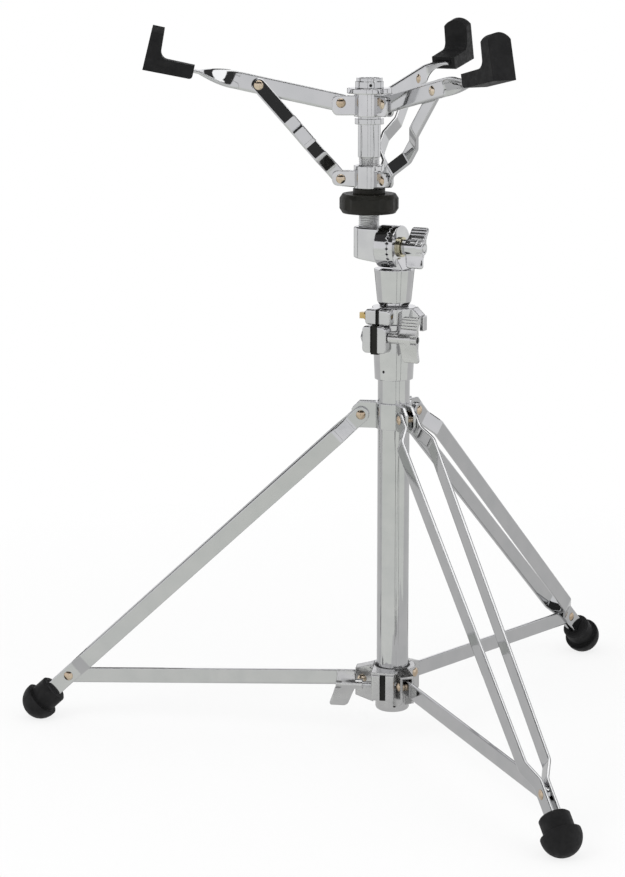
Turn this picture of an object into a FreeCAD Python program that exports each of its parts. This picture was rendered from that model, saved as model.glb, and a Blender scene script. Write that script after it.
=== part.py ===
import FreeCAD
import Part
import math
import os

# Snare drum stand: a folding tripod, a height mast, a ratchet tilter and a three-arm basket.
# Millimetres and degrees. Z is up, the floor is z = 0 and the base tube stands on the Z axis.
# A size ending in UP, DOWN, OUT, OVER or DROP is measured from the piece that carries it.

# Around the axis
SIDES = ("left", "rear", "front")
SIDE_STEP = 120
LEG_FIRST = 180
MAST_TURN = -20
ARM_FIRST = 210

# Fits
RUN_FIT = 0.05
FLAT_GAP = 0.3
WING_CLEAR = 1.0

# Base tube and end cap
TUBE_R = 14.3
TUBE_WALL = 1.5
TUBE_LOW = 25.5
TUBE_LENGTH = 327.5
CAP_WALL = 1.0
CAP_FLOOR = 2.2
CAP_HEIGHT = 10.5
CAP_ROUND = 3.0
CAP_HOLE_R = 1.2
CAP_HOLE_OFF = 4.2

# Feet
FOOT_RING_R = 328.0
FOOT_BALL_R = 17.2
FOOT_FLAT = 0.8
FOOT_NECK_R = 13.3
FOOT_NECK_LENGTH = 18.0
FOOT_LIP = 1.6
FOOT_BEAD = 1.6

# Leg pivots, leg straps and braces
LEG_PIVOT_DROP = 57.0
LEG_PIVOT_OUT = 14.4
BRACE_TO_FOOT = 37.5
STRAP_WIDTH = 14.5
STRAP_THICK = 2.5
STRAP_SPREAD_TOP = 15.0
STRAP_SPREAD_LOW = 10.8
STRAP_OUT_START = 13.0
STRAP_OUT_RUN = 14.0
STRAP_IN_RUN = 16.0
STRAP_IN_END = 10.0
STRAP_BEND_R = 8.0
STRAP_STOP = 9.5
BRACE_WIDTH = 13.5
BRACE_THICK = 3.0

# Rivets
RIVET_R = 2.5
RIVET_LIP = 1.8
RIVET_HEAD_HEIGHT = 1.7

# Leg collar
COLLAR_WALL = 2.0
COLLAR_BELOW = 12.0
COLLAR_ABOVE = 11.5
EAR_GAP = 5.0
EAR_THICK = 2.7
EAR_TIP = 8.6
EAR_SLOPE = 6.5

# Sliding lower collar
SLIDER_GAP = 1.0
SLIDER_BUSH = 1.6
SLIDER_WALL = 2.4
SLIDER_BELOW = 14.5
SLIDER_ABOVE = 12.7
SLIDER_PIVOT_OUT = 8.65
BRACE_SPACER = 2.6
CHANNEL_WALL = 2.0
CHANNEL_SINK = 1.6
CHANNEL_TIP = 6.0
CHANNEL_EAVE_UP = 9.9
CHANNEL_RIDGE_UP = 14.0
CHANNEL_FOOT_OUT_DOWN = 15.0
CHANNEL_FOOT_IN_DOWN = 21.0
SLIDER_SLIT_OFF = 6.0
SLIDER_SLIT_WIDTH = 5.2
SLIDER_LUG_THICK = 7.9
SLIDER_LUG_TIP = 4.8
SLIDER_LUG_UP = 1.0
SLIDER_LUG_CORNER = 1.6
SLIDER_TOP_THICK = 2.0
SLIDER_TOP_LIP = 2.5
SLIDER_BOLT_OUT = 4.85
SLIDER_BOLT_UP = 0.3

# Clamp lugs and the tongues of their bushings
LUG_ROUND = 1.5
TONGUE_SET = 1.5

# Fasteners that are turned by hand
BOLT_R = 3.0
BOLT_HUB_R = 4.6
NUT_SIDES = 6
NUT_FLATS = 9.0
NUT_THICK = 3.6
NUT_SINK = 1.8
WING_THICK = 4.0
WING_REACH = 17.0
WING_BOSS_TAPER = 0.4
WING_SOCKET_R = 2.9
WING_SOCKET_DEEP = 5.0
WING_LONG = 19.5
WING_SHORT = 12.0
WING_FLARE = 1.0
WING_WAIST_IN = 2.4
WING_ROOT = 4.0
WING_ROUND = 2.8

# Receiver with the height clamp
RECEIVER_OVERLAP = 24.3
RECEIVER_STEP_UP = 0.6
RECEIVER_WALL_LOW = 2.8
RECEIVER_WALL_HIGH = 4.0
RECEIVER_PIN_UP = 8.0
RECEIVER_PIN_OFF = 1.8
RECEIVER_PIN_LEFT = 1.0
CLAMP_TALL = 25.4
CLAMP_SLIT_OFF = 6.0
CLAMP_SLIT_WIDTH = 7.0
CLAMP_LUG_THICK = 8.2
CLAMP_LUG_TIP = 6.5
CLAMP_LUG_UP = 1.2
CLAMP_LUG_CORNER = 4.0
CLAMP_BOLT_OUT = 4.2
CLAMP_BOLT_UP = 14.9

# Mast tube and memory lock
MAST_SLACK = 1.7
MAST_WALL = 1.5
MAST_LENGTH = 276.0
MAST_BUSH = 2.5
MAST_IN_CONE = 22.0
LOCK_GAP = 0.6
LOCK_TALL = 13.9
LOCK_WALL = 6.5
LOCK_BUSH = 1.9
LOCK_SLIT_OFF = 4.1
LOCK_SLIT_WIDTH = 3.6
LOCK_LUG_THICK = 10.4
LOCK_LUG_TIP = 5.5
LOCK_LUG_CORNER = 3.0
LOCK_SCREW_R = 2.4
LOCK_SCREW_OUT = 1.0
LOCK_SCREW_UP = 7.4
LOCK_SCREW_SHORT = 2.1
LOCK_FLANGE_LIP = 1.7
LOCK_FLANGE_THICK = 1.4
LOCK_KEY_FLATS = 5.4
LOCK_KEY_LENGTH = 6.2
LOCK_HINGE_OUT = 7.5
LOCK_HINGE_SINK = 3.8
LOCK_HINGE_NEAR = 3.8
LOCK_HINGE_FAR = 7.6
LOCK_TAB_DROP = 6.1
LOCK_TAB_THICK = 2.5
LOCK_TAB_SINK = 1.0
LOCK_TAB_INSET = 1.9

# Tilter
CONE_GAP = 0.8
CONE_TALL = 33.2
CONE_BELLY_UP = 3.9
CONE_WALL_LOW = 1.3
CONE_WALL_BELLY = 4.0
CONE_WALL_HIGH = 6.9
DISC_R = 19.0
DISC_THICK = 5.0
DISC_CLEAR = 0.5
DISC_FACE = 1.1
TEETH = 24
TOOTH_DEEP = 1.5
TOOTH_START_R = 11.8
GUSSET_FOOT = 13.5
GUSSET_WIDTH = 19.0
GUSSET_SINK = 1.5
TILT_BOLT_R = 4.0
TILT_BOLT_OUT = 20.6
BOLT_CHAMFER = 1.0
WASHER_R = 9.0
WASHER_THICK = 2.2
WING_HUB_R = 7.0
WING_TILT_LONG = 17.8
WING_LEAN = 20.0

# Tilter head and centre rod
ROD_OFFSET = 25.3
ROD_R = 9.2
ROD_STEP = 0.8
ROD_SINK = 5.5
HEAD_WALL = 4.3
HEAD_UP = 16.8
HEAD_DOWN_OUT = 10.0
HEAD_DOWN_IN = 13.6
HEAD_ROUND = 1.8

# Clamping knob
KNOB_R = 26.3
KNOB_UP = 12.2
KNOB_TALL = 17.0
KNOB_TRAVEL = 32.4
KNOB_EDGE = 4.0
KNOB_EDGE_IN = 2.6
KNOB_FLUTES = 10
KNOB_FLUTE_R = 14.0
KNOB_FLUTE_DEEP = 0.9
KNOB_WASHER_LIP = 4.0
KNOB_WASHER_THICK = 4.5

# Basket hubs, rod collar and top cap
HUB_SPAN = 67.0
HUB_WALL = 3.6
HUB_PIVOT_OUT = 11.7
HUB_EAR_TIP = 7.7
HUB_EAR_THICK = 2.1
HUB_EAR_ROUND = 5.0
LOWER_HUB_TALL = 20.2
LOWER_PIVOT_UP = 8.6
LOWER_EAR_UP = 7.2
LOWER_EAR_TILT = 3.0
UPPER_HUB_DOWN = 12.0
UPPER_HUB_UP = 13.0
UPPER_EAR_DOWN = 10.8
UPPER_EAR_UP = 6.5
HUB_FLANGE_OUT = 6.2
HUB_FLANGE_THICK = 4.5
ROD_COLLAR_GAP = 1.7
ROD_COLLAR_TALL = 5.0
ROD_COLLAR_WALL = 2.8
TOP_CAP_TALL = 9.0
TOP_CAP_WALL = 2.5
TOP_CAP_RIM = 3.0
TOP_CAP_LIP = 1.0

# Arms and struts
ARM_RISE = 12.4
ARM_THICK = 3.0
ARM_WIDTH = 15.8
ARM_TO_STRUT = 74.2
ARM_TWIST_AFTER = 16.8
ARM_TWIST_RUN = 37.0
ARM_TWIST_STEPS = 6
ARM_FLAT_LENGTH = 41.0
STRUT_WIDTH = 12.6
STRUT_THICK = 3.0
STRUT_BOW = 10.5
STRUT_BOW_START = 13.0
STRUT_OUT_RUN = 15.0
STRUT_FLAT_RUN = 16.0
STRUT_BACK_RUN = 16.0
STRUT_BEND_R = 5.0

# Rubber tips
TIP_LEAD = 4.5
TIP_HEEL_OVER = 7.5
TIP_SOLE = 8.2
TIP_TOP = 4.8
TIP_WALL = 12.8
TIP_THIN = 1.2
TIP_HIGH = 31.8
TIP_SIDE = 3.5
TIP_ROUND = 7.0
TIP_END_ROUND = 3.0
TIP_CROWN_MORE = 2.5
TIP_TAPER = 1.0

# Heights and radii of the tripod, from the floor up
TUBE_HIGH = TUBE_LOW + TUBE_LENGTH
TUBE_BORE = TUBE_R - TUBE_WALL
CAP_R = TUBE_R + CAP_WALL
CAP_LOW = TUBE_LOW - CAP_FLOOR
CAP_HIGH = TUBE_LOW + CAP_HEIGHT
RIVET_HEAD_R = RIVET_R + RIVET_LIP
FOOT_Z = FOOT_BALL_R - FOOT_FLAT
SLIDER_BORE = TUBE_R + RUN_FIT + SLIDER_BUSH
SLIDER_R = SLIDER_BORE + SLIDER_WALL
SLIDER_LOW = CAP_HIGH + SLIDER_GAP
SLIDER_PIVOT_Z = SLIDER_LOW + SLIDER_BELOW
SLIDER_PIVOT_R = SLIDER_R + SLIDER_PIVOT_OUT
SLIDER_HIGH = SLIDER_PIVOT_Z + SLIDER_ABOVE
SLIDER_LUG_LOW = SLIDER_LOW + SLIDER_LUG_UP
SLIDER_LUG_HIGH = SLIDER_HIGH - SLIDER_TOP_THICK
SLIDER_BOLT_Y = SLIDER_R + SLIDER_BOLT_OUT
SLIDER_BOLT_Z = SLIDER_PIVOT_Z + SLIDER_BOLT_UP
SLIDER_LUG_FRONT = SLIDER_BOLT_Y + SLIDER_LUG_TIP
SLIDER_LUG_FACE = SLIDER_SLIT_OFF + SLIDER_SLIT_WIDTH / 2 + SLIDER_LUG_THICK
SLIDER_LUG_RIGHT = SLIDER_LUG_FACE - 2 * SLIDER_SLIT_OFF
SLIDER_TOP_R = SLIDER_R + SLIDER_TOP_LIP
CHANNEL_GAP = BRACE_THICK + 2 * (FLAT_GAP + BRACE_SPACER)
CHANNEL_OUTER = CHANNEL_GAP / 2 + CHANNEL_WALL
CHANNEL_REACH = SLIDER_PIVOT_R + CHANNEL_TIP
SLIDER_HUB = CHANNEL_REACH + WING_CLEAR - SLIDER_LUG_FACE - FLAT_GAP
LEG_PIVOT_R = TUBE_R + LEG_PIVOT_OUT
LEG_PIVOT_Z = TUBE_HIGH - LEG_PIVOT_DROP
LEG_LINE = math.hypot(FOOT_RING_R - LEG_PIVOT_R, LEG_PIVOT_Z - FOOT_Z)
LEG_DROP = math.degrees(math.atan2(LEG_PIVOT_Z - FOOT_Z, FOOT_RING_R - LEG_PIVOT_R))
LEG_TO_BRACE = LEG_LINE - BRACE_TO_FOOT
BRACE_R = LEG_PIVOT_R + LEG_TO_BRACE * math.cos(math.radians(LEG_DROP))
BRACE_Z = LEG_PIVOT_Z - LEG_TO_BRACE * math.sin(math.radians(LEG_DROP))
BRACE_LINE = math.hypot(BRACE_R - SLIDER_PIVOT_R, SLIDER_PIVOT_Z - BRACE_Z)
BRACE_DROP = math.degrees(math.atan2(SLIDER_PIVOT_Z - BRACE_Z, BRACE_R - SLIDER_PIVOT_R))
EAR_OUTER = EAR_GAP / 2 + EAR_THICK
EAR_REACH = LEG_PIVOT_R + EAR_TIP
COLLAR_LOW = LEG_PIVOT_Z - COLLAR_BELOW
COLLAR_HIGH = LEG_PIVOT_Z + COLLAR_ABOVE
STRAP_AT_EAR = EAR_OUTER + FLAT_GAP + STRAP_THICK / 2
STRAP_AT_FOOT = BRACE_THICK / 2 + FLAT_GAP + STRAP_THICK / 2

# Heights and radii of the mast and its clamps
MAST_R = TUBE_BORE - MAST_SLACK
RECEIVER_LOW = TUBE_HIGH - RECEIVER_OVERLAP
RECEIVER_STEP = TUBE_HIGH + RECEIVER_STEP_UP
RECEIVER_R_LOW = TUBE_R + RECEIVER_WALL_LOW
RECEIVER_R_HIGH = TUBE_R + RECEIVER_WALL_HIGH
CLAMP_BORE = MAST_R + RUN_FIT + MAST_BUSH
CLAMP_HIGH = RECEIVER_STEP + CLAMP_TALL
CLAMP_LUG_LOW = RECEIVER_STEP + CLAMP_LUG_UP
CLAMP_BOLT_Y = RECEIVER_R_HIGH + CLAMP_BOLT_OUT
CLAMP_BOLT_Z = RECEIVER_STEP + CLAMP_BOLT_UP
CLAMP_LUG_FRONT = CLAMP_BOLT_Y + CLAMP_LUG_TIP
CLAMP_FACE_LEFT = -CLAMP_SLIT_OFF - CLAMP_SLIT_WIDTH / 2 - CLAMP_LUG_THICK
CLAMP_FACE_RIGHT = -CLAMP_SLIT_OFF + CLAMP_SLIT_WIDTH / 2 + CLAMP_LUG_THICK
CLAMP_HUB = RECEIVER_R_HIGH + WING_CLEAR - CLAMP_FACE_RIGHT - FLAT_GAP
LOCK_BORE = MAST_R + LOCK_BUSH
LOCK_R = LOCK_BORE + LOCK_WALL
LOCK_LOW = CLAMP_HIGH + LOCK_GAP
LOCK_HIGH = LOCK_LOW + LOCK_TALL
LOCK_SCREW_Y = LOCK_R + LOCK_SCREW_OUT
LOCK_SCREW_Z = LOCK_LOW + LOCK_SCREW_UP
LOCK_LUG_FRONT = LOCK_SCREW_Y + LOCK_LUG_TIP
LOCK_HINGE_REACH = LOCK_R + LOCK_HINGE_OUT
LOCK_TAB_LOW = LOCK_LOW - LOCK_TAB_DROP
CONE_LOW = LOCK_HIGH + CONE_GAP
CONE_BELLY = CONE_LOW + CONE_BELLY_UP
CONE_HIGH = CONE_LOW + CONE_TALL
CONE_R_HIGH = MAST_R + CONE_WALL_HIGH
MAST_HIGH = CONE_LOW + MAST_IN_CONE
MAST_LOW = MAST_HIGH - MAST_LENGTH

# Heights and radii of the tilter and the basket
TILT_Z = CONE_HIGH + DISC_CLEAR + DISC_R
OUTER_DISC = DISC_FACE + FLAT_GAP
WASHER_SEAT = OUTER_DISC + DISC_THICK
NUT_SEAT = WASHER_SEAT + WASHER_THICK + FLAT_GAP
WING_HUB = GUSSET_FOOT + WING_CLEAR - NUT_SEAT
TILT_BOLT_END = NUT_SEAT + TILT_BOLT_OUT
HEAD_R = ROD_R + HEAD_WALL
HEAD_HIGH = TILT_Z + HEAD_UP
HEAD_LOW_OUT = TILT_Z - HEAD_DOWN_OUT
HEAD_LOW_IN = TILT_Z - HEAD_DOWN_IN
HEAD_INNER = HEAD_R - ROD_OFFSET
ROD_LOW = TILT_Z - ROD_SINK
ROD_TOP_R = ROD_R + ROD_STEP
KNOB_LOW = HEAD_HIGH + KNOB_UP
KNOB_HIGH = KNOB_LOW + KNOB_TALL
ROD_STEP_Z = KNOB_HIGH + KNOB_TRAVEL
LOWER_HUB_LOW = KNOB_HIGH + KNOB_WASHER_THICK + FLAT_GAP
LOWER_HUB_HIGH = LOWER_HUB_LOW + LOWER_HUB_TALL
LOWER_PIVOT_Z = LOWER_HUB_LOW + LOWER_PIVOT_UP
UPPER_PIVOT_Z = LOWER_PIVOT_Z + HUB_SPAN
UPPER_HUB_LOW = UPPER_PIVOT_Z - UPPER_HUB_DOWN
UPPER_HUB_HIGH = UPPER_PIVOT_Z + UPPER_HUB_UP
ROD_COLLAR_HIGH = UPPER_HUB_LOW - ROD_COLLAR_GAP
ROD_COLLAR_LOW = ROD_COLLAR_HIGH - ROD_COLLAR_TALL
TOP_CAP_HIGH = UPPER_HUB_HIGH + TOP_CAP_TALL
TOP_CAP_R = ROD_TOP_R + TOP_CAP_WALL
ROD_HIGH = TOP_CAP_HIGH - TOP_CAP_RIM
HUB_R = ROD_TOP_R + HUB_WALL
HUB_FLANGE_R = HUB_R + HUB_FLANGE_OUT
HUB_PIVOT_R = HUB_R + HUB_PIVOT_OUT
HUB_REACH = HUB_PIVOT_R + HUB_EAR_TIP
HUB_SLOT = ARM_THICK / 2 + FLAT_GAP
HUB_OUTER = HUB_SLOT + HUB_EAR_THICK
ARM_TWIST_START = ARM_TO_STRUT + ARM_TWIST_AFTER
ARM_TWIST_END = ARM_TWIST_START + ARM_TWIST_RUN
ARM_END = ARM_TWIST_END + ARM_FLAT_LENGTH
TIP_START = ARM_TWIST_END + TIP_LEAD
TIP_HEEL = ARM_END + TIP_HEEL_OVER
TIP_WIDTH = ARM_WIDTH + 2 * TIP_SIDE
TIP_CROWN_R = TIP_WIDTH / 2 + TIP_CROWN_MORE
STRUT_SHIFT = ARM_THICK / 2 + FLAT_GAP + STRUT_THICK / 2
JOINT_R = HUB_PIVOT_R + ARM_TO_STRUT * math.cos(math.radians(ARM_RISE))
JOINT_Z = UPPER_PIVOT_Z + ARM_TO_STRUT * math.sin(math.radians(ARM_RISE))
STRUT_LINE = math.hypot(JOINT_R - HUB_PIVOT_R, JOINT_Z - LOWER_PIVOT_Z)
STRUT_RISE = math.degrees(math.atan2(JOINT_Z - LOWER_PIVOT_Z, JOINT_R - HUB_PIVOT_R))

# Long enough for a cut to pass right through any piece
CUT = FOOT_RING_R + TUBE_HIGH

ORIGIN = FreeCAD.Vector(0, 0, 0)
AXIS_X = FreeCAD.Vector(1, 0, 0)
AXIS_Y = FreeCAD.Vector(0, 1, 0)
AXIS_Z = FreeCAD.Vector(0, 0, 1)


def rod(radius, low, high):
    """Upright cylinder on the Z axis."""
    return Part.makeCylinder(radius, high - low, FreeCAD.Vector(0, 0, low))


def ring(outer, inner, low, high):
    """Upright sleeve on the Z axis."""
    return rod(outer, low, high).cut(rod(inner, low, high))


def block(x_low, x_high, y_low, y_high, z_low, z_high):
    """Box between two corners."""
    corner = FreeCAD.Vector(x_low, y_low, z_low)
    return Part.makeBox(x_high - x_low, y_high - y_low, z_high - z_low, corner)


def turned(profile):
    """Solid turned about Z from a closed outline of (radius, height) points."""
    points = [FreeCAD.Vector(radius, 0, height) for radius, height in profile]
    return Part.Face(Part.makePolygon(points + points[:1])).revolve(ORIGIN, AXIS_Z, 360)


def slab(outline, y_low, y_high):
    """Plate with an (x, z) outline between two y values."""
    points = [FreeCAD.Vector(x, y_low, z) for x, z in outline]
    face = Part.Face(Part.makePolygon(points + points[:1]))
    return face.extrude(FreeCAD.Vector(0, y_high - y_low, 0))


def across(radius, x, z, y_low, y_high):
    """Pin lying along Y."""
    return Part.makeCylinder(radius, y_high - y_low, FreeCAD.Vector(x, y_low, z), AXIS_Y)


def along(radius, y, z, x_low, x_high):
    """Pin lying along X."""
    return Part.makeCylinder(radius, x_high - x_low, FreeCAD.Vector(x_low, y, z), AXIS_X)


def joined(shapes):
    """One solid from touching shapes, with leftover seams removed."""
    result = shapes[0]
    for shape in shapes[1:]:
        result = result.fuse(shape)
    return result.removeSplitter()


def spun(shape, angle, axis=AXIS_Z, centre=ORIGIN):
    """Copy turned about an axis."""
    copy = shape.copy()
    copy.rotate(centre, axis, angle)
    return copy


def moved(shape, x, y, z):
    """Copy shifted by x, y, z."""
    copy = shape.copy()
    copy.translate(FreeCAD.Vector(x, y, z))
    return copy


def runs_along_y(edge):
    box = edge.BoundBox
    return box.XLength < RUN_FIT and box.ZLength < RUN_FIT


def edges_across(shape):
    """Straight edges of a plate that run along Y."""
    return [edge for edge in shape.Edges if runs_along_y(edge)]


def is_point(point, x, z):
    """True for a point at x and z, whatever its y."""
    return abs(point.x - x) < RUN_FIT and abs(point.z - z) < RUN_FIT


def rivet_head():
    """Domed rivet head, flat side down at z = 0."""
    ball = (RIVET_HEAD_R ** 2 + RIVET_HEAD_HEIGHT ** 2) / (2 * RIVET_HEAD_HEIGHT)
    sphere = Part.makeSphere(ball, FreeCAD.Vector(0, 0, RIVET_HEAD_HEIGHT - ball))
    return sphere.common(rod(ball, 0, ball))


def head_at(x, z, y, side):
    """Rivet head on a face at y, pointing to the +Y or -Y side."""
    return moved(spun(rivet_head(), -90 * side, AXIS_X), x, y, z)


def rivet(x, z, half):
    """Rivet along Y with a head on each outer face of a stack that is 2 * half thick."""
    shank = across(RIVET_R, x, z, -half, half)
    return joined([shank, head_at(x, z, half, 1), head_at(x, z, -half, -1)])


def offset_path(points, bend, shift):
    """Edges beside a polyline whose corners are bent to a radius, shifted to its left."""
    corners = [FreeCAD.Vector(x, y, 0) for x, y in points]
    ways = [(there - here).normalize() for here, there in zip(corners, corners[1:])]
    lefts = [FreeCAD.Vector(-way.y, way.x, 0) for way in ways]
    edges = []
    start = corners[0] + lefts[0] * shift
    for index, corner in enumerate(corners[1:-1]):
        way = ways[index]
        next_way = ways[index + 1]
        side = math.copysign(1, way.cross(next_way).z)
        back = bend * math.tan(way.getAngle(next_way) / 2)
        bend_in = corner - way * back
        bend_out = corner + next_way * back
        centre = bend_in + lefts[index] * (bend * side)
        middle = centre + (corner - centre).normalize() * (bend - side * shift)
        arc_start = bend_in + lefts[index] * shift
        arc_end = bend_out + lefts[index + 1] * shift
        edges.append(Part.makeLine(start, arc_start))
        edges.append(Part.Arc(arc_start, middle, arc_end).toShape())
        start = arc_end
    edges.append(Part.makeLine(start, corners[-1] + lefts[-1] * shift))
    return edges


def bent_strip(points, bend, thick, width):
    """Flat strip bent along an (x, y) middle line, its width centred on z = 0."""
    left = offset_path(points, bend, thick / 2)
    right = offset_path(points, bend, -thick / 2)
    first = Part.makeLine(left[0].Vertexes[0].Point, right[0].Vertexes[0].Point)
    last = Part.makeLine(left[-1].Vertexes[-1].Point, right[-1].Vertexes[-1].Point)
    outline = Part.Wire(Part.sortEdges(left + right + [first, last])[0])
    sheet = Part.Face(outline).extrude(FreeCAD.Vector(0, 0, width))
    return moved(sheet, 0, 0, -width / 2)


def end_round(start, stop, width):
    """Plan of a strip as seen on its broad face: rounded at the start, square at the stop."""
    nose = across(width / 2, start, 0, -CUT, CUT)
    return joined([nose, block(start, stop, -CUT, CUT, -width / 2, width / 2)])


def both_round(length, width):
    """Plan of a strip that is rounded about a hole at each end."""
    half = end_round(0, length / 2, width)
    return joined([half, moved(spun(half, 180), length, 0, 0)])


def leg_frame(shape):
    """From the leg's own line (x along it from its top pivot) to the plane of the leg."""
    return moved(spun(shape, LEG_DROP, AXIS_Y), LEG_PIVOT_R, 0, LEG_PIVOT_Z)


def brace_frame(shape):
    """From the brace's own line to the plane of the leg."""
    return moved(spun(shape, BRACE_DROP, AXIS_Y), SLIDER_PIVOT_R, 0, SLIDER_PIVOT_Z)


def arm_frame(shape):
    """From the arm's own line to the plane of the arm."""
    return moved(spun(shape, -ARM_RISE, AXIS_Y), HUB_PIVOT_R, 0, UPPER_PIVOT_Z)


def strut_frame(shape):
    """From the strut's own line to the plane of the strut."""
    return moved(spun(shape, -STRUT_RISE, AXIS_Y), HUB_PIVOT_R, 0, LOWER_PIVOT_Z)


def on_leg(shape, index):
    """From the plane of a leg to its place round the tube."""
    return spun(shape, LEG_FIRST - SIDE_STEP * index)


def on_mast(shape):
    """From the mast's own directions (x along the tilt axis) to its turned place."""
    return spun(shape, MAST_TURN)


def on_rod(shape):
    """From the centre rod's own axis to its place beside the tube."""
    return on_mast(moved(shape, -ROD_OFFSET, 0, 0))


def on_arm(shape, index):
    """From the plane of an arm to its place round the centre rod."""
    return on_rod(spun(shape, ARM_FIRST - SIDE_STEP * index))


def base_tube():
    return ring(TUBE_R, TUBE_BORE, TUBE_LOW, TUBE_HIGH)


def end_cap():
    """Cup over the tube's lower end, rounded below, with a pin hole in front."""
    cup = rod(CAP_R, CAP_LOW, CAP_HIGH)
    rim = [edge for edge in cup.Edges if edge.BoundBox.ZMax < CAP_LOW + RUN_FIT]
    cup = cup.makeFillet(CAP_ROUND, rim).cut(rod(TUBE_R, TUBE_LOW, CAP_HIGH))
    return cup.cut(across(CAP_HOLE_R, CAP_HOLE_OFF, TUBE_LOW + CAP_HEIGHT / 2, -CUT, 0))


def leg_collar():
    """Band round the tube with three pairs of ear plates for the leg straps."""
    band = ring(TUBE_R + COLLAR_WALL, TUBE_R, COLLAR_LOW, COLLAR_HIGH)
    root = TUBE_R + COLLAR_WALL / 2
    shoulder = EAR_REACH - EAR_SLOPE
    outline = [(root, COLLAR_LOW), (shoulder, COLLAR_LOW), (EAR_REACH, COLLAR_LOW + EAR_SLOPE)]
    outline += [(EAR_REACH, COLLAR_HIGH - EAR_SLOPE), (shoulder, COLLAR_HIGH), (root, COLLAR_HIGH)]
    pair = slab(outline, -EAR_OUTER, EAR_OUTER)
    pair = pair.cut(block(0, CUT, -EAR_GAP / 2, EAR_GAP / 2, COLLAR_LOW, COLLAR_HIGH))
    pair = pair.cut(across(RIVET_R, LEG_PIVOT_R, LEG_PIVOT_Z, -CUT, CUT))
    return joined([band] + [on_leg(pair, index) for index in range(len(SIDES))])


def leg_pins():
    """Pivot pins that end flush with the ear plates."""
    pin = across(RIVET_R, LEG_PIVOT_R, LEG_PIVOT_Z, -EAR_OUTER, EAR_OUTER)
    return Part.Compound([on_leg(pin, index) for index in range(len(SIDES))])


def leg_straps():
    """The two bent straps of a leg in the leg's own line, one the mirror of the other."""
    stop = LEG_LINE - STRAP_STOP
    bend_in = LEG_TO_BRACE - STRAP_IN_END
    path = [(-STRAP_WIDTH / 2, STRAP_AT_EAR), (STRAP_OUT_START, STRAP_AT_EAR)]
    path += [(STRAP_OUT_START + STRAP_OUT_RUN, STRAP_SPREAD_TOP)]
    path += [(bend_in - STRAP_IN_RUN, STRAP_SPREAD_LOW), (bend_in, STRAP_AT_FOOT), (stop, STRAP_AT_FOOT)]
    strap = bent_strip(path, STRAP_BEND_R, STRAP_THICK, STRAP_WIDTH)
    strap = strap.common(end_round(0, stop, STRAP_WIDTH))
    for hole_x in (0, LEG_TO_BRACE):
        strap = strap.cut(across(RIVET_R, hole_x, 0, -CUT, CUT))
    return Part.Compound([strap, strap.mirror(ORIGIN, AXIS_Y)])


def leg_foot(straps):
    """Rubber mushroom foot on the leg's line, slotted for the straps and flat on the floor."""
    top = LEG_LINE - FOOT_NECK_LENGTH
    profile = [(0, top), (FOOT_NECK_R - FOOT_BEAD, top), (FOOT_NECK_R, top + FOOT_BEAD)]
    neck = turned(profile + [(FOOT_NECK_R, LEG_LINE), (0, LEG_LINE)])
    ball = Part.makeSphere(FOOT_BALL_R, FreeCAD.Vector(0, 0, LEG_LINE))
    ball = ball.common(rod(FOOT_BALL_R, LEG_LINE - FOOT_LIP, LEG_LINE + FOOT_BALL_R))
    foot = leg_frame(spun(joined([neck, ball]), 90, AXIS_Y).cut(straps))
    return foot.cut(block(-CUT, CUT, -CUT, CUT, -CUT, 0))


def leg_rivets():
    """Two half rivets at the top of the straps and the through rivet that carries the brace."""
    inner = EAR_OUTER + FLAT_GAP
    outer = inner + STRAP_THICK
    upper = joined([across(RIVET_R, 0, 0, inner, outer), head_at(0, 0, outer, 1)])
    lower = rivet(LEG_TO_BRACE, 0, STRAP_AT_FOOT + STRAP_THICK / 2)
    return leg_frame(Part.Compound([upper, upper.mirror(ORIGIN, AXIS_Y), lower]))


def brace():
    """Flat brace from the sliding collar to the leg, in the plane of the leg."""
    half = BRACE_THICK / 2
    strip = both_round(BRACE_LINE, BRACE_WIDTH).common(block(-CUT, CUT, -half, half, -CUT, CUT))
    for hole_x in (0, BRACE_LINE):
        strip = strip.cut(across(RIVET_R + RUN_FIT, hole_x, 0, -CUT, CUT))
    return brace_frame(strip)


def channel():
    """Inverted channel of the sliding collar that holds one brace end."""
    root = SLIDER_R - CHANNEL_SINK
    eave = SLIDER_PIVOT_Z + CHANNEL_EAVE_UP
    ridge = SLIDER_PIVOT_Z + CHANNEL_RIDGE_UP
    foot_in = SLIDER_PIVOT_Z - CHANNEL_FOOT_IN_DOWN
    foot_out = SLIDER_PIVOT_Z - CHANNEL_FOOT_OUT_DOWN
    slope = (ridge - eave) / (CHANNEL_REACH - root)
    far = CHANNEL_REACH + CHANNEL_WALL
    roof_out = eave - CHANNEL_WALL - slope * CHANNEL_WALL
    roof_in = eave - CHANNEL_WALL + slope * (CHANNEL_REACH - SLIDER_R)
    under = foot_in - CHANNEL_WALL
    hollow = [(SLIDER_R, under), (far, under), (far, roof_out), (SLIDER_R, roof_in)]
    outline = [(root, foot_in), (CHANNEL_REACH, foot_out), (CHANNEL_REACH, eave), (root, ridge)]
    shell = slab(outline, -CHANNEL_OUTER, CHANNEL_OUTER).cut(slab(hollow, -CHANNEL_GAP / 2, CHANNEL_GAP / 2))
    return shell.cut(across(RIVET_R, SLIDER_PIVOT_R, SLIDER_PIVOT_Z, -CUT, CUT))


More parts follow.
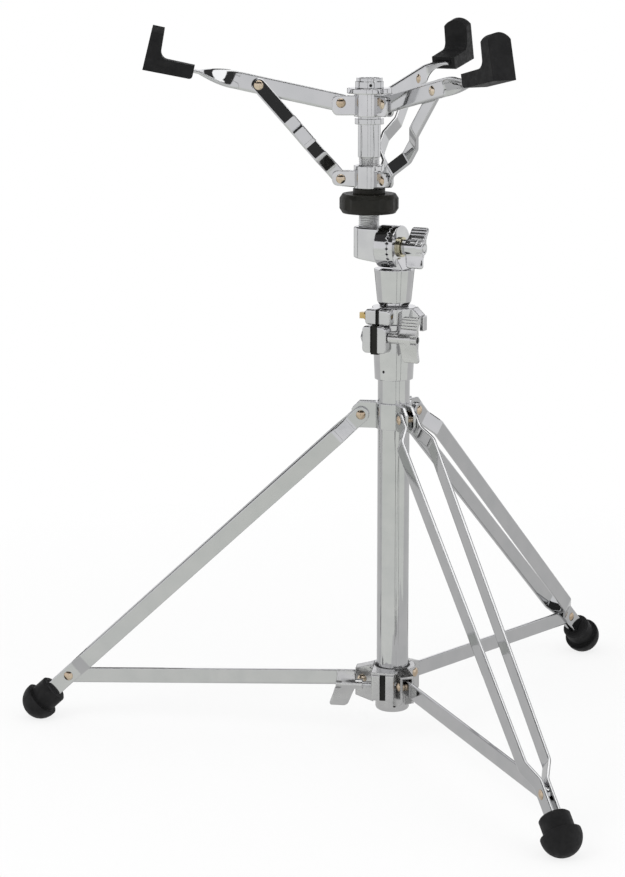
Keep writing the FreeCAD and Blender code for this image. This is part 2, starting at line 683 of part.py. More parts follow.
def split_lugs(slit_off, slit_width, thick, front, low, high, corner):
    """Pair of clamp lugs in front of a collar, either side of a slit that is off to the left."""
    lugs = []
    for side in (-1, 1):
        near = -slit_off + side * slit_width / 2
        far = near + side * thick
        lug = block(min(near, far), max(near, far), -front, 0, low, high)
        outer = [edge for edge in edges_across(lug) if abs(edge.CenterOfMass.x - far) < RUN_FIT]
        lug = lug.makeFillet(corner, outer)
        face = [edge for edge in lug.Edges if edge.BoundBox.YMax < RUN_FIT - front]
        rim = [edge for edge in face if abs(edge.CenterOfMass.x - near) > RUN_FIT]
        lugs.append(lug.makeFillet(LUG_ROUND, rim))
    return lugs


def slit_cut(slit_off, slit_width, low):
    """What a slit takes away from a collar, from a height upwards."""
    return block(-slit_off - slit_width / 2, -slit_off + slit_width / 2, -CUT, 0, low, CUT)


def slit_sleeve(outer, inner, low, high, tongue, bolt):
    """Black bushing with a tongue that stands in the slit of its clamp, bored for the clamp bolt."""
    tongue = tongue.cut(rod((outer + inner) / 2, low - CUT, high + CUT))
    return joined([ring(outer, inner, low, high), tongue]).cut(bolt)


def slit_tongue(slit_off, slit_width, front, low, high):
    half = slit_width / 2
    return block(-slit_off - half, -slit_off + half, TONGUE_SET - front, 0, low, high)


def slider_bolt_hole():
    return along(BOLT_R + RUN_FIT, -SLIDER_BOLT_Y, SLIDER_BOLT_Z, -CUT, CUT)


def collar_top():
    """Plate of the sliding collar over its clamp lugs, round behind and straight in front."""
    corners = [(-SLIDER_LUG_FACE, 0), (-SLIDER_LUG_FACE, -SLIDER_LUG_FRONT)]
    corners += [(SLIDER_LUG_RIGHT, -SLIDER_LUG_FRONT), (SLIDER_TOP_R, 0)]
    points = [FreeCAD.Vector(x, y, SLIDER_LUG_HIGH) for x, y in corners]
    front = Part.Face(Part.makePolygon(points + points[:1])).extrude(AXIS_Z * SLIDER_TOP_THICK)
    return joined([rod(SLIDER_TOP_R, SLIDER_LUG_HIGH, SLIDER_HIGH), front])


def lower_collar():
    """Stamped sliding collar: split band, two clamp lugs, three channels and a top plate."""
    band = ring(SLIDER_R, SLIDER_BORE, SLIDER_LOW, SLIDER_LUG_HIGH)
    lugs = split_lugs(SLIDER_SLIT_OFF, SLIDER_SLIT_WIDTH, SLIDER_LUG_THICK, SLIDER_LUG_FRONT,
                      SLIDER_LUG_LOW, SLIDER_LUG_HIGH, SLIDER_LUG_CORNER)
    channels = [on_leg(channel(), index) for index in range(len(SIDES))]
    body = joined([band] + lugs + channels).cut(slit_cut(SLIDER_SLIT_OFF, SLIDER_SLIT_WIDTH, 0))
    return joined([body, collar_top()]).cut(rod(SLIDER_BORE, 0, CUT)).cut(slider_bolt_hole())


def collar_bushing():
    tongue = slit_tongue(SLIDER_SLIT_OFF, SLIDER_SLIT_WIDTH, SLIDER_LUG_FRONT,
                         SLIDER_LUG_LOW, SLIDER_LUG_HIGH)
    return slit_sleeve(SLIDER_BORE, TUBE_R + RUN_FIT, SLIDER_LOW, SLIDER_HIGH, tongue, slider_bolt_hole())


def collar_rivets():
    """Brace rivets with shoulders that keep the brace in the middle of its channel."""
    inner = BRACE_THICK / 2 + FLAT_GAP
    shoulder = across(RIVET_HEAD_R, SLIDER_PIVOT_R, SLIDER_PIVOT_Z, inner, CHANNEL_GAP / 2)
    pin = rivet(SLIDER_PIVOT_R, SLIDER_PIVOT_Z, CHANNEL_OUTER)
    pin = joined([pin, shoulder, shoulder.mirror(ORIGIN, AXIS_Y)])
    return Part.Compound([on_leg(pin, index) for index in range(len(SIDES))])


def wing(hub_r, hub, up, down):
    """Wing fastener body along +X from x = 0: round hub, then two flared lobes on a tapered boss."""
    tip = hub + WING_REACH
    waist = tip - WING_WAIST_IN
    outline = [(hub, -down), (tip, -down - WING_FLARE), (waist, 0), (tip, up + WING_FLARE)]
    outline += [(hub, up), (hub - WING_ROOT, 0)]
    lobes = slab(outline, -WING_THICK / 2, WING_THICK / 2)
    outer = [edge for edge in edges_across(lobes) if abs(edge.CenterOfMass.z) > hub_r]
    boss = Part.makeCone(hub_r, hub_r - WING_BOSS_TAPER, waist - hub, FreeCAD.Vector(hub, 0, 0), AXIS_X)
    return joined([along(hub_r, 0, 0, 0, hub), boss, lobes.makeFillet(WING_ROUND, outer)])


def wing_bolt(hub, shank, up, down):
    """Wing bolt whose seat is at x = 0, shank towards -X, with a socket in its far end."""
    end = hub + WING_REACH - WING_WAIST_IN
    bolt = joined([along(BOLT_R, 0, 0, -shank, hub), wing(BOLT_HUB_R, hub, up, down)])
    return bolt.cut(along(WING_SOCKET_R, 0, 0, end - WING_SOCKET_DEEP, CUT))


def collar_wing_bolt():
    """Clamp bolt of the sliding collar, seat on the left lug, screwed into the right one."""
    grip = SLIDER_LUG_THICK * 2 + SLIDER_SLIT_WIDTH
    bolt = spun(wing_bolt(SLIDER_HUB, grip, WING_SHORT, WING_LONG), 180)
    return moved(bolt, -SLIDER_LUG_FACE - FLAT_GAP, -SLIDER_BOLT_Y, SLIDER_BOLT_Z)


def clamp_bolt_hole():
    return along(BOLT_R + RUN_FIT, -CLAMP_BOLT_Y, CLAMP_BOLT_Z, -CUT, CUT)


def clamp_nut():
    """Hexagon nut let into the left lug of the height clamp, in the mast's directions."""
    corner = NUT_FLATS / 2 / math.cos(math.pi / NUT_SIDES)
    low = CLAMP_FACE_LEFT + NUT_SINK - NUT_THICK
    points = []
    for step in range(NUT_SIDES):
        angle = 2 * math.pi * step / NUT_SIDES
        y = corner * math.cos(angle) - CLAMP_BOLT_Y
        points.append(FreeCAD.Vector(low, y, corner * math.sin(angle) + CLAMP_BOLT_Z))
    nut = Part.Face(Part.makePolygon(points + points[:1])).extrude(FreeCAD.Vector(NUT_THICK, 0, 0))
    return nut.cut(clamp_bolt_hole())


def receiver(nut):
    """Casting on the tube's top: tapered sleeve below, split height clamp above."""
    profile = [(TUBE_R, RECEIVER_LOW), (RECEIVER_R_LOW, RECEIVER_LOW), (RECEIVER_R_HIGH, RECEIVER_STEP)]
    profile += [(RECEIVER_R_HIGH, CLAMP_HIGH), (CLAMP_BORE, CLAMP_HIGH)]
    profile += [(CLAMP_BORE, TUBE_HIGH), (TUBE_R, TUBE_HIGH)]
    lugs = split_lugs(CLAMP_SLIT_OFF, CLAMP_SLIT_WIDTH, CLAMP_LUG_THICK, CLAMP_LUG_FRONT,
                      CLAMP_LUG_LOW, CLAMP_HIGH, CLAMP_LUG_CORNER)
    body = joined([turned(profile)] + lugs).cut(rod(CLAMP_BORE, TUBE_HIGH, CUT))
    body = body.cut(slit_cut(CLAMP_SLIT_OFF, CLAMP_SLIT_WIDTH, RECEIVER_STEP)).cut(clamp_bolt_hole())
    pin_z = RECEIVER_LOW + RECEIVER_PIN_UP
    pin_hole = across(CAP_HOLE_R, -RECEIVER_PIN_OFF, pin_z, -CUT, -TUBE_R - RECEIVER_PIN_LEFT)
    return body.cut(pin_hole).cut(nut)


def clamp_bushing():
    tongue = slit_tongue(CLAMP_SLIT_OFF, CLAMP_SLIT_WIDTH, CLAMP_LUG_FRONT, RECEIVER_STEP, CLAMP_HIGH)
    return slit_sleeve(CLAMP_BORE, MAST_R + RUN_FIT, RECEIVER_STEP, CLAMP_HIGH, tongue, clamp_bolt_hole())


def clamp_wing_bolt():
    """Height clamp bolt, seat on the right lug, screwed into the nut on the left one."""
    grip = CLAMP_FACE_RIGHT - CLAMP_FACE_LEFT - NUT_SINK + NUT_THICK
    bolt = wing_bolt(CLAMP_HUB, grip + FLAT_GAP, WING_LONG, WING_LONG)
    return moved(bolt, CLAMP_FACE_RIGHT + FLAT_GAP, -CLAMP_BOLT_Y, CLAMP_BOLT_Z)


def inner_tube():
    return ring(MAST_R, MAST_R - MAST_WALL, MAST_LOW, MAST_HIGH)


def lock_screw_hole():
    return along(LOCK_SCREW_R + RUN_FIT, -LOCK_SCREW_Y, LOCK_SCREW_Z, -CUT, CUT)


def memory_lock():
    """Split stop collar on the inner tube, with a hinge block and an index tab on its far side."""
    band = ring(LOCK_R, LOCK_BORE, LOCK_LOW, LOCK_HIGH)
    lugs = split_lugs(LOCK_SLIT_OFF, LOCK_SLIT_WIDTH, LOCK_LUG_THICK, LOCK_LUG_FRONT,
                      LOCK_LOW, LOCK_HIGH, LOCK_LUG_CORNER)
    mid = LOCK_LOW + LOCK_TALL / 2
    root = LOCK_R - LOCK_HINGE_SINK
    outline = [(root, LOCK_LOW), (LOCK_HINGE_REACH, LOCK_LOW), (LOCK_HINGE_REACH, mid), (LOCK_R, LOCK_HIGH)]
    hinge = slab(outline + [(root, LOCK_HIGH)], -LOCK_HINGE_NEAR, LOCK_HINGE_FAR)
    tab = block(LOCK_HINGE_REACH - LOCK_TAB_SINK, LOCK_HINGE_REACH + LOCK_TAB_THICK,
                LOCK_TAB_INSET - LOCK_HINGE_NEAR, LOCK_HINGE_FAR - LOCK_TAB_INSET, LOCK_TAB_LOW, mid)
    body = joined([band, hinge, tab] + lugs).cut(rod(LOCK_BORE, 0, CUT))
    return body.cut(slit_cut(LOCK_SLIT_OFF, LOCK_SLIT_WIDTH, 0)).cut(lock_screw_hole())


def memory_bushing():
    tongue = slit_tongue(LOCK_SLIT_OFF, LOCK_SLIT_WIDTH, LOCK_LUG_FRONT, LOCK_LOW, LOCK_HIGH)
    return slit_sleeve(LOCK_BORE, MAST_R, LOCK_LOW, LOCK_HIGH, tongue, lock_screw_hole())


def memory_screw():
    """Square-headed key screw through the memory lock, seat on its left lug."""
    seat = -LOCK_SLIT_OFF - LOCK_SLIT_WIDTH / 2 - LOCK_LUG_THICK - FLAT_GAP
    flange = along(LOCK_SCREW_R + LOCK_FLANGE_LIP, 0, 0, -LOCK_FLANGE_THICK, 0)
    half = LOCK_KEY_FLATS / 2
    key = block(-LOCK_KEY_LENGTH, 0, -half, half, -half, half)
    shank = along(LOCK_SCREW_R, 0, 0, 0, 2 * LOCK_LUG_THICK + LOCK_SLIT_WIDTH - LOCK_SCREW_SHORT)
    return moved(joined([shank, flange, key]), seat, -LOCK_SCREW_Y, LOCK_SCREW_Z)


def toothed(disc, face_x):
    """Cut radial notches into the face of a disc at face_x, leaving a ring of teeth."""
    half = math.pi * DISC_R / TEETH / 2
    low = FreeCAD.Vector(face_x - TOOTH_DEEP, 0, TOOTH_START_R)
    left = FreeCAD.Vector(face_x, -half, TOOTH_START_R)
    right = FreeCAD.Vector(face_x, half, TOOTH_START_R)
    notch = Part.Face(Part.makePolygon([low, left, right, low])).extrude(FreeCAD.Vector(0, 0, DISC_R))
    return disc.cut(Part.Compound([spun(notch, 360 * step / TEETH, AXIS_X) for step in range(TEETH)]))


def tilter_base():
    """Turned cone on the inner tube, with the outer toothed disc standing on it."""
    profile = [(0, CONE_LOW), (MAST_R + CONE_WALL_LOW, CONE_LOW), (MAST_R + CONE_WALL_BELLY, CONE_BELLY)]
    cone = turned(profile + [(CONE_R_HIGH, CONE_HIGH), (0, CONE_HIGH)]).cut(rod(MAST_R, CONE_LOW, MAST_HIGH))
    disc = toothed(along(DISC_R, 0, 0, -WASHER_SEAT, -OUTER_DISC), -OUTER_DISC)
    disc = moved(spun(disc, 180), 0, 0, TILT_Z)
    root = OUTER_DISC + TOOTH_DEEP
    low = CONE_HIGH - GUSSET_SINK
    high = TILT_Z - WASHER_R - FLAT_GAP
    outline = [(root, low), (GUSSET_FOOT, low), (WASHER_SEAT, high), (root, high)]
    gusset = slab(outline, -GUSSET_WIDTH / 2, GUSSET_WIDTH / 2)
    return joined([cone, disc, gusset]).cut(along(TILT_BOLT_R, 0, TILT_Z, -CUT, CUT))


def tilter_bolt():
    """Bolt through both discs, fixed in the outer one."""
    shank = along(TILT_BOLT_R, 0, TILT_Z, HEAD_INNER + 2 * FLAT_GAP, TILT_BOLT_END)
    tip = [edge for edge in shank.Edges if edge.BoundBox.XMin > TILT_BOLT_END - RUN_FIT]
    return shank.makeChamfer(BOLT_CHAMFER, tip)


def tilter_washer():
    washer = along(WASHER_R, 0, TILT_Z, WASHER_SEAT, WASHER_SEAT + WASHER_THICK)
    return washer.cut(along(TILT_BOLT_R, 0, TILT_Z, -CUT, CUT))


def tilter_wing_nut():
    """Wing nut on the tilter bolt, leaning a little from upright."""
    body = spun(wing(WING_HUB_R, WING_HUB, WING_TILT_LONG, WING_TILT_LONG), -WING_LEAN, AXIS_X)
    return moved(body, NUT_SEAT, 0, TILT_Z).cut(along(TILT_BOLT_R + RUN_FIT, 0, TILT_Z, -CUT, CUT))


def tilter_head():
    """Socket block for the centre rod, joined to the inner toothed disc."""
    back = block(0, ROD_OFFSET, -HEAD_R, HEAD_R, HEAD_LOW_IN, HEAD_HIGH)
    plan = moved(joined([rod(HEAD_R, HEAD_LOW_IN, HEAD_HIGH), back]), -ROD_OFFSET, 0, 0)
    inner = HEAD_INNER + DISC_FACE
    outline = [(-CUT, HEAD_HIGH), (inner, HEAD_HIGH), (inner, HEAD_LOW_IN)]
    outline += [(-ROD_OFFSET - HEAD_R, HEAD_LOW_OUT), (-CUT, HEAD_LOW_OUT)]
    socket = plan.common(slab(outline, -CUT, CUT))
    rim = [edge for edge in socket.Edges if edge.BoundBox.ZMin > HEAD_HIGH - RUN_FIT]
    socket = socket.makeFillet(HEAD_ROUND, [edge for edge in rim if edge.CenterOfMass.x < inner - RUN_FIT])
    socket = socket.cut(moved(rod(ROD_R, ROD_LOW, HEAD_HIGH), -ROD_OFFSET, 0, 0))
    disc = moved(toothed(along(DISC_R, 0, 0, HEAD_INNER, DISC_FACE), DISC_FACE), 0, 0, TILT_Z)
    return joined([socket, disc]).cut(along(TILT_BOLT_R + RUN_FIT, 0, TILT_Z, HEAD_INNER, CUT))


def basket_rod():
    """Centre rod: thread size below, plain tube size above."""
    return on_rod(joined([rod(ROD_R, ROD_LOW, ROD_STEP_Z), rod(ROD_TOP_R, ROD_STEP_Z, ROD_HIGH)]))


def rod_collar():
    return on_rod(ring(ROD_TOP_R + ROD_COLLAR_WALL, ROD_TOP_R, ROD_COLLAR_LOW, ROD_COLLAR_HIGH))


def hub(barrel, bore, foot_in, foot_out, ear_high, pivot_z):
    """Hub barrel with three slotted and rounded ears in the directions of the arms."""
    outline = [(0, foot_in), (HUB_REACH, foot_out), (HUB_REACH, ear_high), (0, ear_high)]
    ear = slab(outline, -HUB_OUTER, HUB_OUTER)
    tips = [edge for edge in edges_across(ear) if edge.CenterOfMass.x > HUB_PIVOT_R]
    ear = ear.makeFillet(HUB_EAR_ROUND, tips)
    slot = block(HUB_PIVOT_R - ARM_WIDTH / 2 - FLAT_GAP, CUT, -HUB_SLOT, HUB_SLOT, 0, CUT)
    cut = joined([slot, across(RIVET_R, HUB_PIVOT_R, pivot_z, -HUB_OUTER, HUB_OUTER)])
    angles = [ARM_FIRST - SIDE_STEP * index for index in range(len(SIDES))]
    body = joined([barrel] + [spun(ear, angle) for angle in angles]).cut(rod(bore, 0, CUT))
    return on_rod(body.cut(Part.Compound([spun(cut, angle) for angle in angles])))


def hub_rivets(pivot_z):
    pin = rivet(HUB_PIVOT_R, pivot_z, HUB_OUTER)
    return Part.Compound([on_arm(pin, index) for index in range(len(SIDES))])


def upper_hub():
    """Hub fixed on the rod, with a round flange above the arms."""
    flange = rod(HUB_FLANGE_R, UPPER_HUB_HIGH - HUB_FLANGE_THICK, UPPER_HUB_HIGH)
    barrel = joined([rod(HUB_R, UPPER_HUB_LOW, UPPER_HUB_HIGH), flange])
    foot = UPPER_PIVOT_Z - UPPER_EAR_DOWN
    return hub(barrel, ROD_TOP_R, foot, foot, UPPER_PIVOT_Z + UPPER_EAR_UP, UPPER_PIVOT_Z)


def lower_hub():
    """Hub that slides on the rod and carries the struts."""
    barrel = rod(HUB_R, LOWER_HUB_LOW, LOWER_HUB_HIGH)
    foot_out = LOWER_HUB_LOW + LOWER_EAR_TILT
    ear_high = LOWER_PIVOT_Z + LOWER_EAR_UP
    return hub(barrel, ROD_TOP_R + RUN_FIT, LOWER_HUB_LOW, foot_out, ear_high, LOWER_PIVOT_Z)


def basket_cap():
    """Open-rimmed cap on the rod above the upper hub."""
    cup = ring(TOP_CAP_R, ROD_TOP_R, UPPER_HUB_HIGH, ROD_HIGH)
    rim = ring(TOP_CAP_R - TOP_CAP_LIP, ROD_TOP_R - TOP_CAP_LIP, ROD_HIGH, TOP_CAP_HIGH)
    return on_rod(joined([cup, rim]))


def arm():
    """Arm strip in its own line: upright at the hub, twisted to lie flat in the rubber tip."""
    half_y = ARM_THICK / 2
    half_z = ARM_WIDTH / 2
    upright = block(-CUT, CUT, -half_y, half_y, -half_z, half_z)
    strip = end_round(0, ARM_TWIST_START, ARM_WIDTH).common(upright)
    corners = [(-half_y, -half_z), (half_y, -half_z), (half_y, half_z), (-half_y, half_z)]
    sections = []
    for step in range(ARM_TWIST_STEPS + 1):
        share = step / ARM_TWIST_STEPS
        points = [FreeCAD.Vector(ARM_TWIST_START + ARM_TWIST_RUN * share, y, z) for y, z in corners]
        sections.append(spun(Part.makePolygon(points + points[:1]), 90 * share, AXIS_X))
    twist = Part.makeLoft(sections, True, False)
    flat = block(ARM_TWIST_END, ARM_END, -half_z, half_z, -half_y, half_y)
    body = strip.fuse(twist).fuse(flat)
    for hole_x, radius in ((0, RIVET_R + RUN_FIT), (ARM_TO_STRUT, RIVET_R)):
        body = body.cut(across(radius, hole_x, 0, -CUT, CUT))
    return body


def arm_tip(strip):
    """Rubber L over the arm's flat end: sole along the arm, arched upright that holds the shell."""
    inner = TIP_HEEL - TIP_WALL
    end_low = TIP_TAPER - TIP_SOLE
    outline = [(TIP_START, end_low), (TIP_HEEL, -TIP_SOLE), (TIP_HEEL - TIP_TAPER, TIP_HIGH)]
    outline += [(inner + TIP_THIN, TIP_HIGH), (inner, TIP_TOP), (TIP_START, TIP_TOP)]
    tip = slab(outline, -TIP_WIDTH / 2, TIP_WIDTH / 2)
    for radius, x, z in ((TIP_ROUND, inner, TIP_TOP), (TIP_END_ROUND, TIP_START, end_low)):
        corner = [edge for edge in edges_across(tip) if is_point(edge.CenterOfMass, x, z)]
        tip = tip.makeFillet(radius, corner)
    crown_z = TIP_HIGH - TIP_CROWN_R
    crown = along(TIP_CROWN_R, 0, crown_z, 0, CUT)
    return tip.common(joined([crown, block(0, CUT, -CUT, CUT, -CUT, crown_z)])).cut(strip)


def arm_rivet():
    """Half rivet on the arm's side of its joint with the strut."""
    half = ARM_THICK / 2
    return joined([across(RIVET_R, ARM_TO_STRUT, 0, -half, half), head_at(ARM_TO_STRUT, 0, -half, -1)])


def strut():
    """Strut strip in its own line, bowed sideways so that it clears the upper hub when folded."""
    bow_on = STRUT_BOW_START + STRUT_OUT_RUN
    bow_off = bow_on + STRUT_FLAT_RUN
    path = [(-STRUT_WIDTH / 2, 0), (STRUT_BOW_START, 0), (bow_on, STRUT_BOW), (bow_off, STRUT_BOW)]
    path += [(bow_off + STRUT_BACK_RUN, STRUT_SHIFT), (STRUT_LINE + STRUT_WIDTH / 2, STRUT_SHIFT)]
    strip = bent_strip(path, STRUT_BEND_R, STRUT_THICK, STRUT_WIDTH)
    strip = strip.common(both_round(STRUT_LINE, STRUT_WIDTH))
    for hole_x, radius in ((0, RIVET_R + RUN_FIT), (STRUT_LINE, RIVET_R)):
        strip = strip.cut(across(radius, hole_x, 0, -CUT, CUT))
    return strip


def strut_rivet():
    """Half rivet on the strut's side of its joint with the arm."""
    face = STRUT_SHIFT - STRUT_THICK / 2
    back = STRUT_SHIFT + STRUT_THICK / 2
    return joined([across(RIVET_R, STRUT_LINE, 0, face, back), head_at(STRUT_LINE, 0, back, 1)])


def knob():
    """Clamping knob, chamfered and lightly fluted, running on the rod's thread."""
    edge_r = KNOB_R - KNOB_EDGE_IN
    profile = [(0, KNOB_LOW), (edge_r, KNOB_LOW), (KNOB_R, KNOB_LOW + KNOB_EDGE)]
    profile += [(KNOB_R, KNOB_HIGH - KNOB_EDGE), (edge_r, KNOB_HIGH), (0, KNOB_HIGH)]
    flute = moved(rod(KNOB_FLUTE_R, KNOB_LOW, KNOB_HIGH), KNOB_R + KNOB_FLUTE_R - KNOB_FLUTE_DEEP, 0, 0)
    flutes = [spun(flute, 360 * step / KNOB_FLUTES) for step in range(KNOB_FLUTES)]
    body = turned(profile).cut(Part.Compound(flutes))
    return on_rod(body.cut(rod(ROD_R + RUN_FIT, KNOB_LOW, KNOB_HIGH)))


def knob_washer():
    """Thrust washer between the knob and the lower hub, wide enough to pass the plain tube."""
    bore = ROD_TOP_R + FLAT_GAP
    return on_rod(ring(bore + KNOB_WASHER_LIP, bore, KNOB_HIGH, KNOB_HIGH + KNOB_WASHER_THICK))


def tripod_nodes():
    nodes = {
        "base_tube": base_tube(),
        "end_cap": end_cap(),
        "leg_collar": leg_collar(),
        "leg_pins": leg_pins(),
        "lower_collar": lower_collar(),
        "collar_bushing": collar_bushing(),
        "collar_rivets": collar_rivets(),
        "collar_wing_bolt": collar_wing_bolt(),
    }
    straps = leg_straps()
    per_leg = {
        "leg_straps": leg_frame(straps),
        "leg_foot": leg_foot(straps),
        "leg_rivets": leg_rivets(),
        "brace": brace(),
    }
    for index, side in enumerate(SIDES):
        for name, shape in per_leg.items():
            nodes[name + "_" + side] = on_leg(shape, index)
    return nodes


def mast_nodes():
    nut = clamp_nut()
    nodes = {
        "receiver": receiver(nut),
        "clamp_nut": nut,
        "clamp_bushing": clamp_bushing(),
        "clamp_wing_bolt": clamp_wing_bolt(),
        "inner_tube": inner_tube(),
        "memory_lock": memory_lock(),
        "memory_bushing": memory_bushing(),
        "memory_screw": memory_screw(),
        "tilter_base": tilter_base(),
        "tilter_bolt": tilter_bolt(),
        "tilter_washer": tilter_washer(),
        "tilter_wing_nut": tilter_wing_nut(),
        "tilter_head": tilter_head(),
    }
    return {name: on_mast(shape) for name, shape in nodes.items()}


def basket_nodes():
    nodes = {
        "basket_rod": basket_rod(),
        "rod_collar": rod_collar(),
        "upper_hub": upper_hub(),
        "upper_hub_rivets": hub_rivets(UPPER_PIVOT_Z),
        "basket_cap": basket_cap(),
        "lower_hub": lower_hub(),
        "lower_hub_rivets": hub_rivets(LOWER_PIVOT_Z),
        "knob": knob(),
        "knob_washer": knob_washer(),
    }
    strip = arm()
    per_arm = {
        "arm": arm_frame(strip),
        "arm_tip": arm_frame(arm_tip(strip)),
        "arm_rivet": arm_frame(arm_rivet()),
        "strut": strut_frame(strut()),
        "strut_rivet": strut_frame(strut_rivet()),
    }
    for index, side in enumerate(SIDES):
        for name, shape in per_arm.items():
            nodes[name + "_" + side] = on_arm(shape, index)
    return nodes


def build():
    """All nodes by name."""
    return {**tripod_nodes(), **mast_nodes(), **basket_nodes()}


if __name__ == "__main__":
    os.makedirs("parts", exist_ok=True)
    for node, shape in build().items():
        shape.exportStep(os.path.join("parts", node + ".step"))
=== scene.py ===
import bmesh
import bpy
import math
from mathutils import Matrix, Vector


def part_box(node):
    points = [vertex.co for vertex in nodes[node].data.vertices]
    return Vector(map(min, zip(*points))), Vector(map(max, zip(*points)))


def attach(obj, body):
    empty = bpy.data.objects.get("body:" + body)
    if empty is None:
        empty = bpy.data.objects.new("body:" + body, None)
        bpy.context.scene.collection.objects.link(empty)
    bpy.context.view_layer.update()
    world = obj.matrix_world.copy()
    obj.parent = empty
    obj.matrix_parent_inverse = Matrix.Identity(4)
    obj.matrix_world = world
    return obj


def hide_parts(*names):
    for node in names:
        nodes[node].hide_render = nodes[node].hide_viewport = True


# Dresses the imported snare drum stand: finishes, fine details, camera and a plain white studio.
# Metres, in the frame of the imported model.

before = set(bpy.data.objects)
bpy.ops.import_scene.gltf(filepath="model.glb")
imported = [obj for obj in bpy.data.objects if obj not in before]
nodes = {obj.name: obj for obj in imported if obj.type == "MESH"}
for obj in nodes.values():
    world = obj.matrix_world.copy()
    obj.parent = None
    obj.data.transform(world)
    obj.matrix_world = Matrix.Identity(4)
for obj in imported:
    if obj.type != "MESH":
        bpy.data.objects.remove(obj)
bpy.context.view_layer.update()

# Scales and depths that all finishes share
NOISE_DETAIL = 3.0
RAMP_START = 0.35
RAMP_STOP = 0.65
EDGE_SAMPLES = 14
METAL_CLOUDS = 55.0
METAL_WIPES = 210.0
METAL_WIPE_DETAIL = 6.0
METAL_WAVES = 38.0
METAL_WAVE_DETAIL = 1.0
METAL_WAVE_DEEP = 0.0006
METAL_EDGE = 0.0012
MOULDED_GLOSS = 0.22
MOULDED_CLOUDS = 90.0
MOULDED_WIPES = 260.0
MOULDED_WIPE_DETAIL = 5.0
GRAIN_DETAIL = 4.0
GRAIN_DEEP = 0.0004
MOULDED_EDGE = 0.0012


def new_material(name):
    """New node material, with its tree and its Principled shader."""
    material = bpy.data.materials.new(name)
    material.use_nodes = True
    tree = material.node_tree
    return material, tree, tree.nodes["Principled BSDF"]


def add(tree, kind, **settings):
    """New shader node with some of its settings or sockets filled in."""
    node = tree.nodes.new(kind)
    for key, value in settings.items():
        if hasattr(node, key):
            setattr(node, key, value)
        else:
            node.inputs[key.replace("_", " ")].default_value = value
    return node


def noise(tree, scale, detail=NOISE_DETAIL):
    """Noise in the piece's own metres."""
    place = add(tree, "ShaderNodeTexCoord")
    texture = add(tree, "ShaderNodeTexNoise", Scale=scale, Detail=detail)
    tree.links.new(place.outputs["Object"], texture.inputs["Vector"])
    return texture.outputs["Fac"]


def ramp(tree, source, low, high, start=RAMP_START, stop=RAMP_STOP):
    """Ramp over a value, between two colours or two greys."""
    node = add(tree, "ShaderNodeValToRGB")
    node.color_ramp.elements[0].position = start
    node.color_ramp.elements[1].position = stop
    for element, value in zip(node.color_ramp.elements, (low, high)):
        element.color = value if isinstance(value, tuple) else (value, value, value, 1)
    tree.links.new(source, node.inputs["Fac"])
    return node.outputs["Color"]


def bump(tree, shader, source, strength, distance, edge):
    """Fine relief on a shader, on top of softly rounded edges."""
    relief = add(tree, "ShaderNodeBump", Strength=strength, Distance=distance)
    rounded = add(tree, "ShaderNodeBevel", samples=EDGE_SAMPLES, Radius=edge)
    tree.links.new(source, relief.inputs["Height"])
    tree.links.new(rounded.outputs["Normal"], relief.inputs["Normal"])
    tree.links.new(relief.outputs["Normal"], shader.inputs["Normal"])
    return relief


def facets(tree, relief, along, start, length, deep, steps):
    """Pressed facets along a strip, under its relief. Steps are shares of the length and of the depth."""
    place = add(tree, "ShaderNodeTexCoord")
    along_strip = add(tree, "ShaderNodeVectorMath", operation="DOT_PRODUCT")
    along_strip.inputs[1].default_value = along
    share = add(tree, "ShaderNodeMapRange")
    share.inputs["From Min"].default_value = start
    share.inputs["From Max"].default_value = start + length
    shape = add(tree, "ShaderNodeFloatCurve")
    line = shape.mapping.curves[0]
    line.points[0].location = steps[0]
    line.points[1].location = steps[-1]
    for step in steps[1:-1]:
        line.points.new(*step)
    for point in line.points:
        point.handle_type = "VECTOR"
    shape.mapping.update()
    pressed = add(tree, "ShaderNodeBump", Strength=1.0, Distance=deep)
    tree.links.new(place.outputs["Object"], along_strip.inputs[0])
    tree.links.new(along_strip.outputs["Value"], share.inputs["Value"])
    tree.links.new(share.outputs["Result"], shape.inputs["Value"])
    tree.links.new(shape.outputs["Value"], pressed.inputs["Height"])
    tree.links.new(relief.inputs["Normal"].links[0].from_socket, pressed.inputs["Normal"])
    tree.links.new(pressed.outputs["Normal"], relief.inputs["Normal"])


def metal(name, dark, light, rough, wave, edge=METAL_EDGE, pressed=None):
    """Polished metal with faint cloudiness, wiping marks and a slightly wavy skin."""
    material, tree, shader = new_material(name)
    shader.inputs["Metallic"].default_value = 1.0
    clouds = ramp(tree, noise(tree, METAL_CLOUDS), dark, light)
    wipes = ramp(tree, noise(tree, METAL_WIPES, METAL_WIPE_DETAIL), *rough)
    tree.links.new(clouds, shader.inputs["Base Color"])
    tree.links.new(wipes, shader.inputs["Roughness"])
    waves = noise(tree, METAL_WAVES, METAL_WAVE_DETAIL)
    relief = bump(tree, shader, waves, wave, METAL_WAVE_DEEP, edge)
    if pressed:
        facets(tree, relief, **pressed)
    return material


def moulded(name, dark, light, rough, grain, relief):
    """Moulded rubber or plastic with a fine grain."""
    material, tree, shader = new_material(name)
    shader.inputs["Specular IOR Level"].default_value = MOULDED_GLOSS
    clouds = ramp(tree, noise(tree, MOULDED_CLOUDS), dark, light)
    wipes = ramp(tree, noise(tree, MOULDED_WIPES, MOULDED_WIPE_DETAIL), *rough)
    tree.links.new(clouds, shader.inputs["Base Color"])
    tree.links.new(wipes, shader.inputs["Roughness"])
    bump(tree, shader, noise(tree, grain, GRAIN_DETAIL), relief, GRAIN_DEEP, MOULDED_EDGE)
    return material


CHROME = metal(
    "chrome",
    dark=(0.54, 0.545, 0.55, 1),
    light=(0.58, 0.58, 0.585, 1),
    rough=(0.03, 0.07),
    wave=0.05,
)

